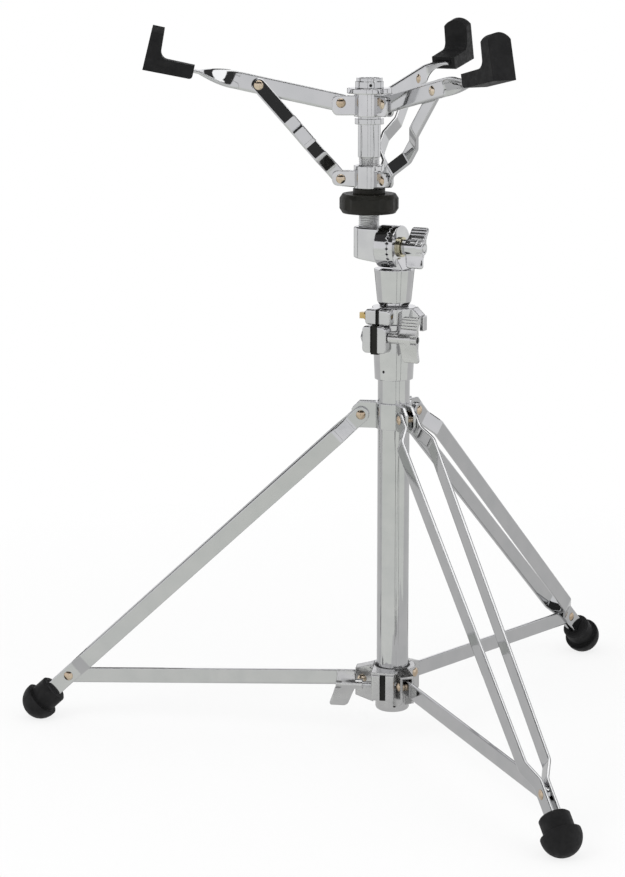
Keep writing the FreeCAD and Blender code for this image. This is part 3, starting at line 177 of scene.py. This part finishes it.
# Flat strips of legs, braces, arms and struts, which differ in their edges
STRIP_LOOK = {
    "dark": (0.52, 0.525, 0.53, 1),
    "light": (0.55, 0.55, 0.555, 1),
    "rough": (0.035, 0.06),
    "wave": 0.012,
}
STRUT_FACETS = {
    "along": (-0.633, -0.18, 0.753),
    "start": 0.411,
    "length": 0.125,
    "deep": 0.0285,
    "steps": ((0, 1), (0.232, 1), (0.336, 0.763), (0.368, 0.763), (0.464, 0.889), (0.56, 0.889), (1, 0)),
}
STRIP = metal("strip_chrome", **STRIP_LOOK, edge=0.0016)
ARM_STRIP = metal("arm_chrome", **STRIP_LOOK, edge=0.0034)
STRUT = metal("pressed_strip", **STRIP_LOOK, edge=0.0026, pressed=STRUT_FACETS)

CAST = metal(
    "cast_chrome",
    dark=(0.56, 0.56, 0.57, 1),
    light=(0.61, 0.61, 0.615, 1),
    rough=(0.05, 0.10),
    wave=0.14,
    edge=0.0015,
)
SATIN = metal(
    "satin_chrome",
    dark=(0.53, 0.53, 0.53, 1),
    light=(0.58, 0.58, 0.575, 1),
    rough=(0.20, 0.28),
    wave=0.10,
)
NICKEL = metal(
    "rivet_nickel",
    dark=(0.50, 0.39, 0.28, 1),
    light=(0.66, 0.56, 0.44, 1),
    rough=(0.09, 0.20),
    wave=0.05,
    edge=0.0004,
)
BRASS = metal(
    "brass",
    dark=(0.48, 0.33, 0.12, 1),
    light=(0.62, 0.46, 0.21, 1),
    rough=(0.12, 0.24),
    wave=0.05,
    edge=0.0005,
)
PALE_BRASS = metal(
    "pale_brass",
    dark=(0.46, 0.42, 0.30, 1),
    light=(0.56, 0.52, 0.38, 1),
    rough=(0.10, 0.20),
    wave=0.05,
    edge=0.0005,
)
RUBBER = moulded(
    "rubber",
    dark=(0.006, 0.006, 0.0065, 1),
    light=(0.011, 0.011, 0.0115, 1),
    rough=(0.50, 0.68),
    grain=1500.0,
    relief=0.22,
)
NYLON = moulded(
    "nylon",
    dark=(0.007, 0.007, 0.006, 1),
    light=(0.012, 0.012, 0.010, 1),
    rough=(0.36, 0.50),
    grain=1100.0,
    relief=0.10,
)
KNOB = moulded(
    "knob_plastic",
    dark=(0.009, 0.009, 0.007, 1),
    light=(0.015, 0.014, 0.011, 1),
    rough=(0.36, 0.52),
    grain=1300.0,
    relief=0.16,
)

CAST_NODES = ("receiver", "memory_lock", "tilter_base", "tilter_head", "lower_hub", "upper_hub")
SATIN_NODES = ("lower_collar", "end_cap")
KNOB_NODES = ("knob", "knob_washer")


def finish(obj, material):
    """Gives a piece one material."""
    obj.data.materials.clear()
    obj.data.materials.append(material)


def node_material(name):
    """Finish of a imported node, by what it is."""
    if "rivet" in name or name == "leg_pins":
        return NICKEL
    if name.startswith(("leg_foot", "arm_tip")):
        return RUBBER
    if "bushing" in name:
        return NYLON
    if name in KNOB_NODES:
        return KNOB
    if name == "memory_screw":
        return BRASS
    if name == "tilter_washer":
        return PALE_BRASS
    if name in SATIN_NODES:
        return SATIN
    if name == "strut_left":
        return STRUT
    if name.startswith("arm"):
        return ARM_STRIP
    if name.startswith(("leg_straps", "brace", "strut")):
        return STRIP
    return CAST if name in CAST_NODES else CHROME


for node_name, node_object in nodes.items():
    finish(node_object, node_material(node_name))

# Fineness of the new pieces
SMOOTH_ANGLE = math.radians(38)
ROUND_STEPS = 48
# Steps round each dark plug that paints the shade of a hole
HOLE_SHADE_STEPS = 24
THREAD_ROWS = 8
THREAD_SHARPNESS = 1.5


def middle(name):
    """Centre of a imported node's box."""
    low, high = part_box(name)
    return (Vector(low) + Vector(high)) / 2


def half_width(name):
    """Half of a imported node's width, its radius where it is round."""
    low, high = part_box(name)
    return (high[0] - low[0]) / 2


def piece(name, mesh, material, body, replaced=None):
    """New piece from a bmesh, smooth by angle, riding on a body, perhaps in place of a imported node."""
    data = bpy.data.meshes.new(name)
    bmesh.ops.recalc_face_normals(mesh, faces=mesh.faces)
    mesh.to_mesh(data)
    mesh.free()
    data.shade_smooth()
    data.set_sharp_from_angle(angle=SMOOTH_ANGLE)
    obj = bpy.data.objects.new(name, data)
    bpy.context.scene.collection.objects.link(obj)
    finish(obj, material)
    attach(obj, body)
    if replaced:
        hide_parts(replaced)


def skin(mesh, rows, matrix):
    """Closed skin over rings of points with as many points each, capped at both ends."""
    rings = [[mesh.verts.new(matrix @ Vector(point)) for point in row] for row in rows]
    for low, high in zip(rings, rings[1:]):
        for step in range(len(low)):
            after = (step + 1) % len(low)
            mesh.faces.new((low[step], low[after], high[after], high[step]))
    mesh.faces.new(list(reversed(rings[0])))
    mesh.faces.new(rings[-1])


def ring_of(radius, along, steps=ROUND_STEPS):
    """Ring of points about the X axis."""
    angles = [2 * math.pi * step / steps for step in range(steps)]
    return [(along, radius * math.cos(angle), radius * math.sin(angle)) for angle in angles]


def thread(radius, start, stop, lead, deep, starts=1, steps=ROUND_STEPS):
    """Rings of a screw thread about the X axis, run out to the full size at both ends."""
    pitch = lead / starts
    count = max(2, int((stop - start) / pitch * THREAD_ROWS))
    rows = []
    for row in range(count + 1):
        along = start + (stop - start) * row / count
        fade = min(1.0, min(along - start, stop - along) / pitch)
        ring = []
        for step in range(steps):
            angle = 2 * math.pi * step / steps
            wave = 0.5 - 0.5 * math.cos(2 * math.pi * (along / pitch - starts * step / steps))
            size = radius - deep * fade * wave ** THREAD_SHARPNESS
            ring.append((along, size * math.cos(angle), size * math.sin(angle)))
        rows.append(ring)
    return rows


# Centre rod with its real thread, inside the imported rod's outline
ROD_LOW, ROD_HIGH = (corner[2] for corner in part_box("basket_rod"))
ROD_AXIS = middle("basket_rod")
ROD_TOP_R = (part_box("basket_rod")[1][0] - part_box("basket_rod")[0][0]) / 2
ROD_THREAD_IN = 0.0008
ROD_THREAD_R = ROD_TOP_R - ROD_THREAD_IN
ROD_THREAD_DEEP = 0.0007
ROD_STEP_UP = 0.0324
ROD_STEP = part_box("knob")[1][2] + ROD_STEP_UP
KNOB_LEAD = 0.0030
ROD_STARTS = 2
ROD_EDGE = 0.0004


def threaded_rod():
    """Rod: thread below the step, plain above it."""
    mesh = bmesh.new()
    up = Matrix.Translation((ROD_AXIS.x, ROD_AXIS.y, 0)) @ Matrix.Rotation(-math.pi / 2, 4, "Y")
    rows = thread(ROD_THREAD_R, ROD_LOW, ROD_STEP, KNOB_LEAD, ROD_THREAD_DEEP, ROD_STARTS)
    rows.append(ring_of(ROD_TOP_R - ROD_EDGE, ROD_STEP))
    rows.append(ring_of(ROD_TOP_R, ROD_STEP + ROD_EDGE))
    rows.append(ring_of(ROD_TOP_R, ROD_HIGH))
    skin(mesh, rows, up)
    return mesh


piece("threaded_rod", threaded_rod(), CHROME, "head", "basket_rod")

# Wing fasteners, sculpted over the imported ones: lobes in the plane of the axis, blended into a boss
WING_ROWS = 144
WING_COLUMNS = 22
WING_REACH = 0.0170
WING_WAIST_IN = 0.0024
WING_WAIST_CURVE = 1.6
WING_ROOT = 0.0040
WING_FLARE = 0.0010
WING_HALF = 0.0020
WING_THINNING = 0.25
WING_LEAST = 0.0006
WING_ROUND = 0.0032
WING_RIM = 0.0012
WING_RIM_LEAST = 0.08
WING_SOCKET = 0.0050
WING_EDGE = 0.0005
BOSS_FALL = 1.6
RIB_PITCH = 0.0027
RIB_RUN = 0.0112
RIB_MARGIN = 0.0006
RIB_SHARPNESS = 5
SOFT_WING = {"boss": 1.25, "growth": 0.5, "rib": 0.0007}
SHARP_WING = {"boss": 1.0, "growth": 0.0, "rib": 0.0003}


def wing_height(along, across, near, far, end, hub_r, hub, ribs, notch, style):
    """Half thickness of a wing at a point: plate, broad boss, ribs down from a height and rounded rims."""
    reach = abs(across) / end
    plate = WING_HALF * (1 - WING_THINNING * reach)
    spread = style["boss"] * hub_r * (1 + style["growth"] * max(0.0, along - hub) / WING_REACH)
    high = plate + (hub_r - plate) * math.exp(-(across / spread) ** 2 * BOSS_FALL)
    in_run = ribs - RIB_RUN < across < ribs - RIB_MARGIN
    if ribs and in_run and near + RIB_MARGIN < along < far - RIB_MARGIN:
        groove = 0.5 - 0.5 * math.cos(2 * math.pi * (ribs - across) / RIB_PITCH)
        high -= style["rib"] * groove ** RIB_SHARPNESS
    edge = min(along - near, end - abs(across))
    if not notch:
        edge = min(edge, far - along)
    rim = math.sqrt(max(0.0, 1 - (1 - min(1.0, edge / WING_RIM)) ** 2))
    return max(high, WING_LEAST) * max(rim, WING_RIM_LEAST)


def wing_rows(hub_r, hub, up, down, ribs, sweep, style):
    """Rings across the lobes, from the lower tip to the upper one: front face out, back face home."""
    waist = hub + WING_REACH - WING_WAIST_IN
    rows = []
    for row in range(WING_ROWS + 1):
        across = -down - WING_FLARE + (up + down + 2 * WING_FLARE) * row / WING_ROWS
        end = up + WING_FLARE if across > 0 else down + WING_FLARE
        reach = abs(across) / end
        turn_in = max(0.0, 1 - (end - abs(across)) / WING_ROUND)
        trim = WING_ROUND * (1 - math.sqrt(max(0.0, 1 - turn_in ** 2)))
        notch = abs(across) < hub_r - 2 * WING_EDGE
        near = hub - WING_ROOT * (1 - reach) + trim
        far = waist + WING_WAIST_IN * reach ** WING_WAIST_CURVE - trim
        if notch:
            far = waist - WING_SOCKET - WING_EDGE
        front = []
        back = []
        for column in range(WING_COLUMNS + 1):
            along = near + (far - near) * column / WING_COLUMNS
            high = wing_height(along, across, near, far, end, hub_r, hub, ribs, notch, style)
            front.append((along - across * sweep, -high, across))
            back.append((along - across * sweep, high, across))
        rows.append(front + back[::-1])
    return rows


def wing_mesh(hub_r, bore, hub, up, down, matrix, ribs, sweep=0.0, start=0.0, style=SOFT_WING):
    """Hub, lobes and open-ended boss of a wing fastener along +X."""
    mesh = bmesh.new()
    end = hub + WING_REACH - WING_WAIST_IN
    skin(mesh, wing_rows(hub_r, hub, up, down, ribs, sweep, style), matrix)
    rows = [
        ring_of(bore, start),
        ring_of(hub_r - WING_EDGE, start),
        ring_of(hub_r, start + WING_EDGE),
        ring_of(hub_r, hub),
        ring_of(hub_r - WING_EDGE, end - WING_EDGE),
        ring_of(hub_r - 2 * WING_EDGE, end),
        ring_of(bore, end),
        ring_of(bore, end - WING_SOCKET),
    ]
    skin(mesh, rows, matrix)
    return mesh


# Seats of the wing fasteners: where each one's X axis starts and how it lies
CASTING_TURN = math.radians(-20)
TILTER_LEAN = math.radians(-20)
CLAMP_SEAT = (0.0060, -0.0225, 0.3685)
COLLAR_SEAT = (-0.0168, -0.0232, 0.0518)
TILTER_SEAT = (0.0089, 0, 0.4470)
MAST_TURN = Matrix.Rotation(CASTING_TURN, 4, "Z")
CLAMP_WING = MAST_TURN @ Matrix.Translation(CLAMP_SEAT)
COLLAR_WING = Matrix.Translation(COLLAR_SEAT) @ Matrix.Rotation(math.pi, 4, "Z")
TILTER_WING = MAST_TURN @ Matrix.Translation(TILTER_SEAT) @ Matrix.Rotation(TILTER_LEAN, 4, "X")

# Sizes along and across them: a hub is measured from the seat to the lobes
BOLT_HUB_R = 0.0046
BOLT_R = 0.0030
BOLT_PITCH = 0.0015
SOCKET_R = 0.0029
WING_LONG = 0.0195
WING_SHORT = 0.0120
CLAMP_HUB = 0.0133
CLAMP_SHANK_IN = 0.0120
CLAMP_THREAD_DEEP = 0.0005
COLLAR_HUB = 0.0172
COLLAR_SWEEP = 0.22
COLLAR_SHANK_IN = 0.0210
COLLAR_SHANK_OUT = 0.0075
COLLAR_THREAD_DEEP = 0.0006
TILTER_HUB_R = 0.0070
TILTER_BORE = 0.00405
TILTER_HUB = 0.0056
TILTER_LONG = 0.0178
NO_RIBS = 0.0

clamp_wing = wing_mesh(BOLT_HUB_R, SOCKET_R, CLAMP_HUB, WING_LONG, WING_LONG, CLAMP_WING, WING_LONG)
skin(clamp_wing, thread(BOLT_R, -CLAMP_SHANK_IN, WING_EDGE, BOLT_PITCH, CLAMP_THREAD_DEEP), CLAMP_WING)
piece("clamp_wing", clamp_wing, SATIN, "clamp_wing", "clamp_wing_bolt")

collar_wing = wing_mesh(
    BOLT_HUB_R,
    SOCKET_R,
    COLLAR_HUB,
    WING_SHORT,
    WING_LONG,
    COLLAR_WING,
    NO_RIBS,
    sweep=COLLAR_SWEEP,
    start=COLLAR_SHANK_OUT,
)
piece("collar_wing", collar_wing, SATIN, "collar_wing", "collar_wing_bolt")

collar_shank = bmesh.new()
collar_shank_end = COLLAR_SHANK_OUT + WING_EDGE
collar_thread = thread(BOLT_R, -COLLAR_SHANK_IN, collar_shank_end, BOLT_PITCH, COLLAR_THREAD_DEEP)
skin(collar_shank, collar_thread, COLLAR_WING)
piece("collar_shank", collar_shank, CHROME, "collar_wing")

tilter_wing = wing_mesh(
    TILTER_HUB_R,
    TILTER_BORE,
    TILTER_HUB,
    TILTER_LONG,
    TILTER_LONG,
    TILTER_WING,
    TILTER_LONG,
    style=SHARP_WING,
)
piece("tilter_wing", tilter_wing, CAST, "tilter_wing", "tilter_wing_nut")

# Painted shade: short dark plugs in front of the end cap, the receiver and the top cap, standing in for the
# dark inside their holes
CAMERA_TURN = math.radians(7.8007)
HOLE_SHADE_DEEP = 0.001
HOLE_SHADE_CROWN = 0.0002
HOLE_SHADE_TOP = 0.7
AXIS = Vector((0, 0, 0))
CAP_HOLE_SHADE_R = 0.0013
CAP_HOLE_SHADE_X = 0.0014
CAP_HOLE_SHADE_Z = 0.0296
RECEIVER_R = 0.0171
RECEIVER_HOLE_SHADE_R = 0.0018
RECEIVER_HOLE_SHADE_X = -0.0018
RECEIVER_HOLE_SHADE_Z = 0.3367
TOP_HOLE_SHADE_R = 0.0014
TOP_HOLE_SHADE_X = 0.0008
TOP_HOLE_SHADE_DOWN = 0.0062
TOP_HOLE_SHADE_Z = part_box("basket_cap")[1][2] - TOP_HOLE_SHADE_DOWN


def hole_shade_plug(size, radius, centre, turn, x, z):
    """Short round dark plug in a round wall of that radius, facing the front, at x across it: painted shade
    of a hole, not a real pin.
    """
    mesh = bmesh.new()
    place = Matrix.Translation((centre.x, centre.y, 0)) @ Matrix.Rotation(turn, 4, "Z")
    place = place @ Matrix.Translation((x, -math.sqrt(radius ** 2 - x ** 2), z))
    place = place @ Matrix.Rotation(math.pi / 2, 4, "Z")
    rows = [
        ring_of(size, HOLE_SHADE_DEEP, HOLE_SHADE_STEPS),
        ring_of(size, 0, HOLE_SHADE_STEPS),
        ring_of(size * HOLE_SHADE_TOP, -HOLE_SHADE_CROWN, HOLE_SHADE_STEPS),
    ]
    skin(mesh, rows, place)
    return mesh


# Painted shade of the holes: one dark plug each in the end cap, the receiver and the top cap
cap_hole_shade = hole_shade_plug(CAP_HOLE_SHADE_R, half_width("end_cap"), AXIS, CAMERA_TURN, CAP_HOLE_SHADE_X, CAP_HOLE_SHADE_Z)
piece("cap_hole_shade", cap_hole_shade, NYLON, "base")
receiver_hole_shade = hole_shade_plug(RECEIVER_HOLE_SHADE_R, RECEIVER_R, AXIS, CASTING_TURN, RECEIVER_HOLE_SHADE_X, RECEIVER_HOLE_SHADE_Z)
piece("receiver_hole_shade", receiver_hole_shade, NYLON, "base")
top_hole_shade = hole_shade_plug(TOP_HOLE_SHADE_R, half_width("basket_cap"), ROD_AXIS, CAMERA_TURN, TOP_HOLE_SHADE_X, TOP_HOLE_SHADE_Z)
piece("top_hole_shade", top_hole_shade, NYLON, "head")

# Camera at the photograph's angle, for a frame of 625 by 877
FRAME_HEIGHT = 877
FOCUS_PIXELS = 2467.74
SENSOR_WIDTH = 36
CAMERA_SHIFT = -0.15
CAMERA_AWAY = 2.16762
CAMERA_SIDE = -0.0726
CAMERA_HEIGHT = 0.72641
CAMERA_PITCH = math.radians(8.7476)
camera_data = bpy.data.cameras.new("camera")
camera_data.lens = FOCUS_PIXELS / FRAME_HEIGHT * SENSOR_WIDTH
camera_data.sensor_width = SENSOR_WIDTH
camera_data.shift_y = CAMERA_SHIFT
camera = bpy.data.objects.new("camera", camera_data)
camera_x = math.sin(CAMERA_TURN) * CAMERA_AWAY + math.cos(CAMERA_TURN) * CAMERA_SIDE
camera_y = -math.cos(CAMERA_TURN) * CAMERA_AWAY + math.sin(CAMERA_TURN) * CAMERA_SIDE
camera.location = (camera_x, camera_y, CAMERA_HEIGHT)
camera.rotation_euler = (math.pi / 2 - CAMERA_PITCH, 0, CAMERA_TURN)
bpy.context.scene.collection.objects.link(camera)
bpy.context.scene.camera = camera

# Studio: white surroundings, a pale floor, two lamps, and cards that only reflections see
WHITE = (1, 1, 1, 1)
WORLD_LIGHT = 0.78
MIRRORED_LOW = (0.84, 0.86, 0.82, 1)
MIRRORED_HIGH = (0.98, 0.98, 1.0, 1)
MIRRORED_FROM = 0.30
MIRRORED_TO = 0.44
HORIZON = 0.5
FLOOR_STEPS = 96
FLOOR_R = 1.6
FLOOR_ROUGH = 0.9
FLOOR_CLOUDS = 3.0
FLOOR_DARK = (0.96, 0.96, 0.96, 1)
FLOOR_LIGHT = (0.98, 0.98, 0.98, 1)
FLOOR_MIRRORED = (0.83, 0.85, 0.82, 1)
FLOOR_COVER = 0.25
FLOOR_GLOW = 0.20
FLOOR_FADE_FROM = 0.42
FLOOR_FADE_TO = 0.95
STAGE_FAR = 2.2
CARD_LOW = -1.0
CARD_TOP = 3
FLOOR_STRIP_NEAR = 0.30
FLOOR_STRIP_UP = 0.001
FLOOR_STRIP_SPREAD = 1.8
FLOOR_BACK_UP = 0.0006
FLOOR_BACK_EDGE = (
    (-STAGE_FAR, 0.0),
    (-0.20, 0.0),
    (-0.08, -0.14),
    (0.0, -0.34),
    (0.45, -0.34),
    (0.45, -0.10),
    (STAGE_FAR, -0.10),
)


def seen_directly(tree):
    """One for rays from the camera, a reflection or a see-through surface, nought for light."""
    path = add(tree, "ShaderNodeLightPath")
    camera_or_gloss = add(tree, "ShaderNodeMath", operation="MAXIMUM")
    with_glass = add(tree, "ShaderNodeMath", operation="MAXIMUM")
    tree.links.new(path.outputs["Is Camera Ray"], camera_or_gloss.inputs[0])
    tree.links.new(path.outputs["Is Glossy Ray"], camera_or_gloss.inputs[1])
    tree.links.new(camera_or_gloss.outputs[0], with_glass.inputs[0])
    tree.links.new(path.outputs["Is Transmission Ray"], with_glass.inputs[1])
    return with_glass.outputs[0]


def studio_world():
    """Even surroundings: white to the camera, a little greyer to reflections, dimmer as light."""
    world = bpy.data.worlds.new("studio")
    bpy.context.scene.world = world
    world.use_nodes = True
    tree = world.node_tree
    light = tree.nodes["Background"]
    light.inputs["Color"].default_value = WHITE
    light.inputs["Strength"].default_value = WORLD_LIGHT
    seen = add(tree, "ShaderNodeBackground", Strength=1.0)
    path = add(tree, "ShaderNodeLightPath")
    place = add(tree, "ShaderNodeTexCoord")
    split = add(tree, "ShaderNodeSeparateXYZ")
    tint = add(tree, "ShaderNodeMix", data_type="RGBA")
    tint.inputs["B"].default_value = WHITE
    tree.links.new(place.outputs["Generated"], split.inputs[0])
    lifted = add(tree, "ShaderNodeMath", operation="ADD")
    lifted.inputs[1].default_value = HORIZON
    tree.links.new(split.outputs["Z"], lifted.inputs[0])
    mirrored = ramp(tree, lifted.outputs[0], MIRRORED_LOW, MIRRORED_HIGH, MIRRORED_FROM, MIRRORED_TO)
    tree.links.new(path.outputs["Is Camera Ray"], tint.inputs["Factor"])
    tree.links.new(mirrored, tint.inputs["A"])
    tree.links.new(tint.outputs["Result"], seen.inputs["Color"])
    mix = add(tree, "ShaderNodeMixShader")
    tree.links.new(seen_directly(tree), mix.inputs["Fac"])
    tree.links.new(light.outputs[0], mix.inputs[1])
    tree.links.new(seen.outputs[0], mix.inputs[2])
    tree.links.new(mix.outputs[0], tree.nodes["World Output"].inputs["Surface"])


def studio_floor():
    """Round pale floor that keeps a faint shadow, lets folded legs show and fades into the surroundings."""
    mesh = bmesh.new()
    bmesh.ops.create_circle(mesh, cap_ends=True, segments=FLOOR_STEPS, radius=FLOOR_R)
    data = bpy.data.meshes.new("floor")
    mesh.to_mesh(data)
    mesh.free()
    obj = bpy.data.objects.new("floor", data)
    bpy.context.scene.collection.objects.link(obj)
    material, tree, shader = new_material("floor_white")
    shader.inputs["Roughness"].default_value = FLOOR_ROUGH
    shader.inputs["Specular IOR Level"].default_value = 0.0
    clouds = ramp(tree, noise(tree, FLOOR_CLOUDS), FLOOR_DARK, FLOOR_LIGHT)
    tree.links.new(clouds, shader.inputs["Base Color"])
    place = add(tree, "ShaderNodeTexCoord")
    cover = add(tree, "ShaderNodeMixShader")
    away = add(tree, "ShaderNodeVectorMath", operation="LENGTH")
    tree.links.new(place.outputs["Object"], away.inputs[0])
    fade = ramp(tree, away.outputs["Value"], FLOOR_COVER, 0.0, FLOOR_FADE_FROM, FLOOR_FADE_TO)
    tree.links.new(fade, cover.inputs["Fac"])
    white = add(tree, "ShaderNodeEmission", Strength=1.0)
    path = add(tree, "ShaderNodeLightPath")
    tint = add(tree, "ShaderNodeMix", data_type="RGBA")
    tint.inputs["A"].default_value = FLOOR_MIRRORED
    tint.inputs["B"].default_value = WHITE
    tree.links.new(path.outputs["Is Camera Ray"], tint.inputs["Factor"])
    tree.links.new(tint.outputs["Result"], white.inputs["Color"])
    share = add(tree, "ShaderNodeMath", operation="MULTIPLY")
    share.inputs[1].default_value = FLOOR_GLOW
    mix = add(tree, "ShaderNodeMixShader")
    tree.links.new(seen_directly(tree), share.inputs[0])
    tree.links.new(share.outputs[0], mix.inputs["Fac"])
    tree.links.new(shader.outputs[0], mix.inputs[1])
    tree.links.new(white.outputs[0], mix.inputs[2])
    clear = add(tree, "ShaderNodeBsdfTransparent")
    tree.links.new(clear.outputs[0], cover.inputs[1])
    tree.links.new(mix.outputs[0], cover.inputs[2])
    tree.links.new(cover.outputs[0], tree.nodes["Material Output"].inputs["Surface"])
    finish(obj, material)


def stage_card(name, points, face, shade):
    """Studio card of one shade that only reflections see."""
    data = bpy.data.meshes.new(name)
    data.from_pydata(points, [], [face])
    obj = bpy.data.objects.new(name, data)
    bpy.context.scene.collection.objects.link(obj)
    material, _, shader = new_material(name)
    shader.inputs["Base Color"].default_value = (0, 0, 0, 1)
    shader.inputs["Specular IOR Level"].default_value = 0.0
    shader.inputs["Emission Color"].default_value = (shade, shade, shade, 1)
    shader.inputs["Emission Strength"].default_value = 1.0
    finish(obj, material)
    obj.visible_camera = False
    obj.visible_diffuse = False
    obj.visible_shadow = False


def upright_card(name, azimuth, width, shade, low=CARD_LOW):
    """Tall card round the stand. Azimuth is measured in degrees from the camera, to the right."""
    turn = CAMERA_TURN - math.pi / 2 + math.radians(azimuth)
    centre = Vector((math.cos(turn), math.sin(turn), 0)) * STAGE_FAR
    aside = Vector((-math.sin(turn), math.cos(turn), 0)) * (width / 2)
    left = centre - aside
    right = centre + aside
    points = [(left.x, left.y, low), (right.x, right.y, low)]
    points += [(right.x, right.y, CARD_TOP), (left.x, left.y, CARD_TOP)]
    stage_card(name, points, (0, 1, 2, 3), shade)


def floor_strip(name, azimuth, spread, shade):
    """Thin strip on the floor, pointing at the stand and running out to the upright card in line with it."""
    points = []
    for away in (FLOOR_STRIP_NEAR, STAGE_FAR):
        for side in (-1, 1):
            turn = CAMERA_TURN - math.pi / 2 + math.radians(azimuth + side * spread / 2)
            points.append((away * math.cos(turn), away * math.sin(turn), FLOOR_STRIP_UP))
    stage_card(name, points, (0, 1, 3, 2), shade)


def floor_back(name, edge, shade):
    """Darker floor behind an edge, which runs from left to right as the camera sees it."""
    turn = Matrix.Rotation(CAMERA_TURN, 4, "Z")
    corners = edge + ((STAGE_FAR, STAGE_FAR), (-STAGE_FAR, STAGE_FAR))
    points = [turn @ Vector((x, y, FLOOR_BACK_UP)) for x, y in corners]
    stage_card(name, points, tuple(range(len(points))), shade)


def overhead_disc(name, x, y, radius, height, shade):
    """Round card over the stand."""
    points = [(x + across, y + along, height) for _, across, along in ring_of(radius, 0)]
    stage_card(name, points, tuple(range(len(points))), shade)


def soft_light(name, place, aim, size, power):
    """Square studio soft box that reflections don't see."""
    data = bpy.data.lights.new(name, "AREA")
    data.size = size
    data.energy = power
    obj = bpy.data.objects.new(name, data)
    obj.location = place
    obj.rotation_euler = (Vector(aim) - Vector(place)).to_track_quat("-Z", "Y").to_euler()
    obj.visible_glossy = False
    bpy.context.scene.collection.objects.link(obj)


studio_world()
studio_floor()
upright_card("card_behind_left", azimuth=-163, width=0.62, shade=0.06)
upright_card("card_behind_right", azimuth=163, width=0.62, shade=0.06)
upright_card("strip_left", azimuth=-17, width=0.075, shade=0.20, low=0.0)
for strip_side, strip_azimuth in (("middle", 13), ("right", 39)):
    upright_card("strip_" + strip_side, strip_azimuth, width=0.07, shade=0.22)
    floor_strip("floor_strip_" + strip_side, strip_azimuth, FLOOR_STRIP_SPREAD, shade=0.22)
upright_card("strip_far_left", azimuth=-98, width=0.16, shade=0.10)
upright_card("strip_far_right", azimuth=104, width=0.16, shade=0.10)
floor_back("floor_back", FLOOR_BACK_EDGE, shade=0.67)
overhead_disc("ceiling", x=0, y=0, radius=3.4, height=2.1, shade=0.05)
overhead_disc("soft_box_top", x=0, y=0, radius=0.85, height=2.09, shade=1.7)
overhead_disc("soft_box_left", x=-0.9, y=-1.0, radius=0.30, height=2.08, shade=1.6)
overhead_disc("soft_box_right", x=1.25, y=-0.2, radius=0.52, height=2.08, shade=1.7)
soft_light("key", place=(-1.6, -1.8, 2.4), aim=(0, 0, 0.3), size=1.6, power=22)
soft_light("fill", place=(1.9, -1.2, 1.7), aim=(0, 0, 0.3), size=1.4, power=10)
bpy.context.scene.view_settings.view_transform = "Standard"
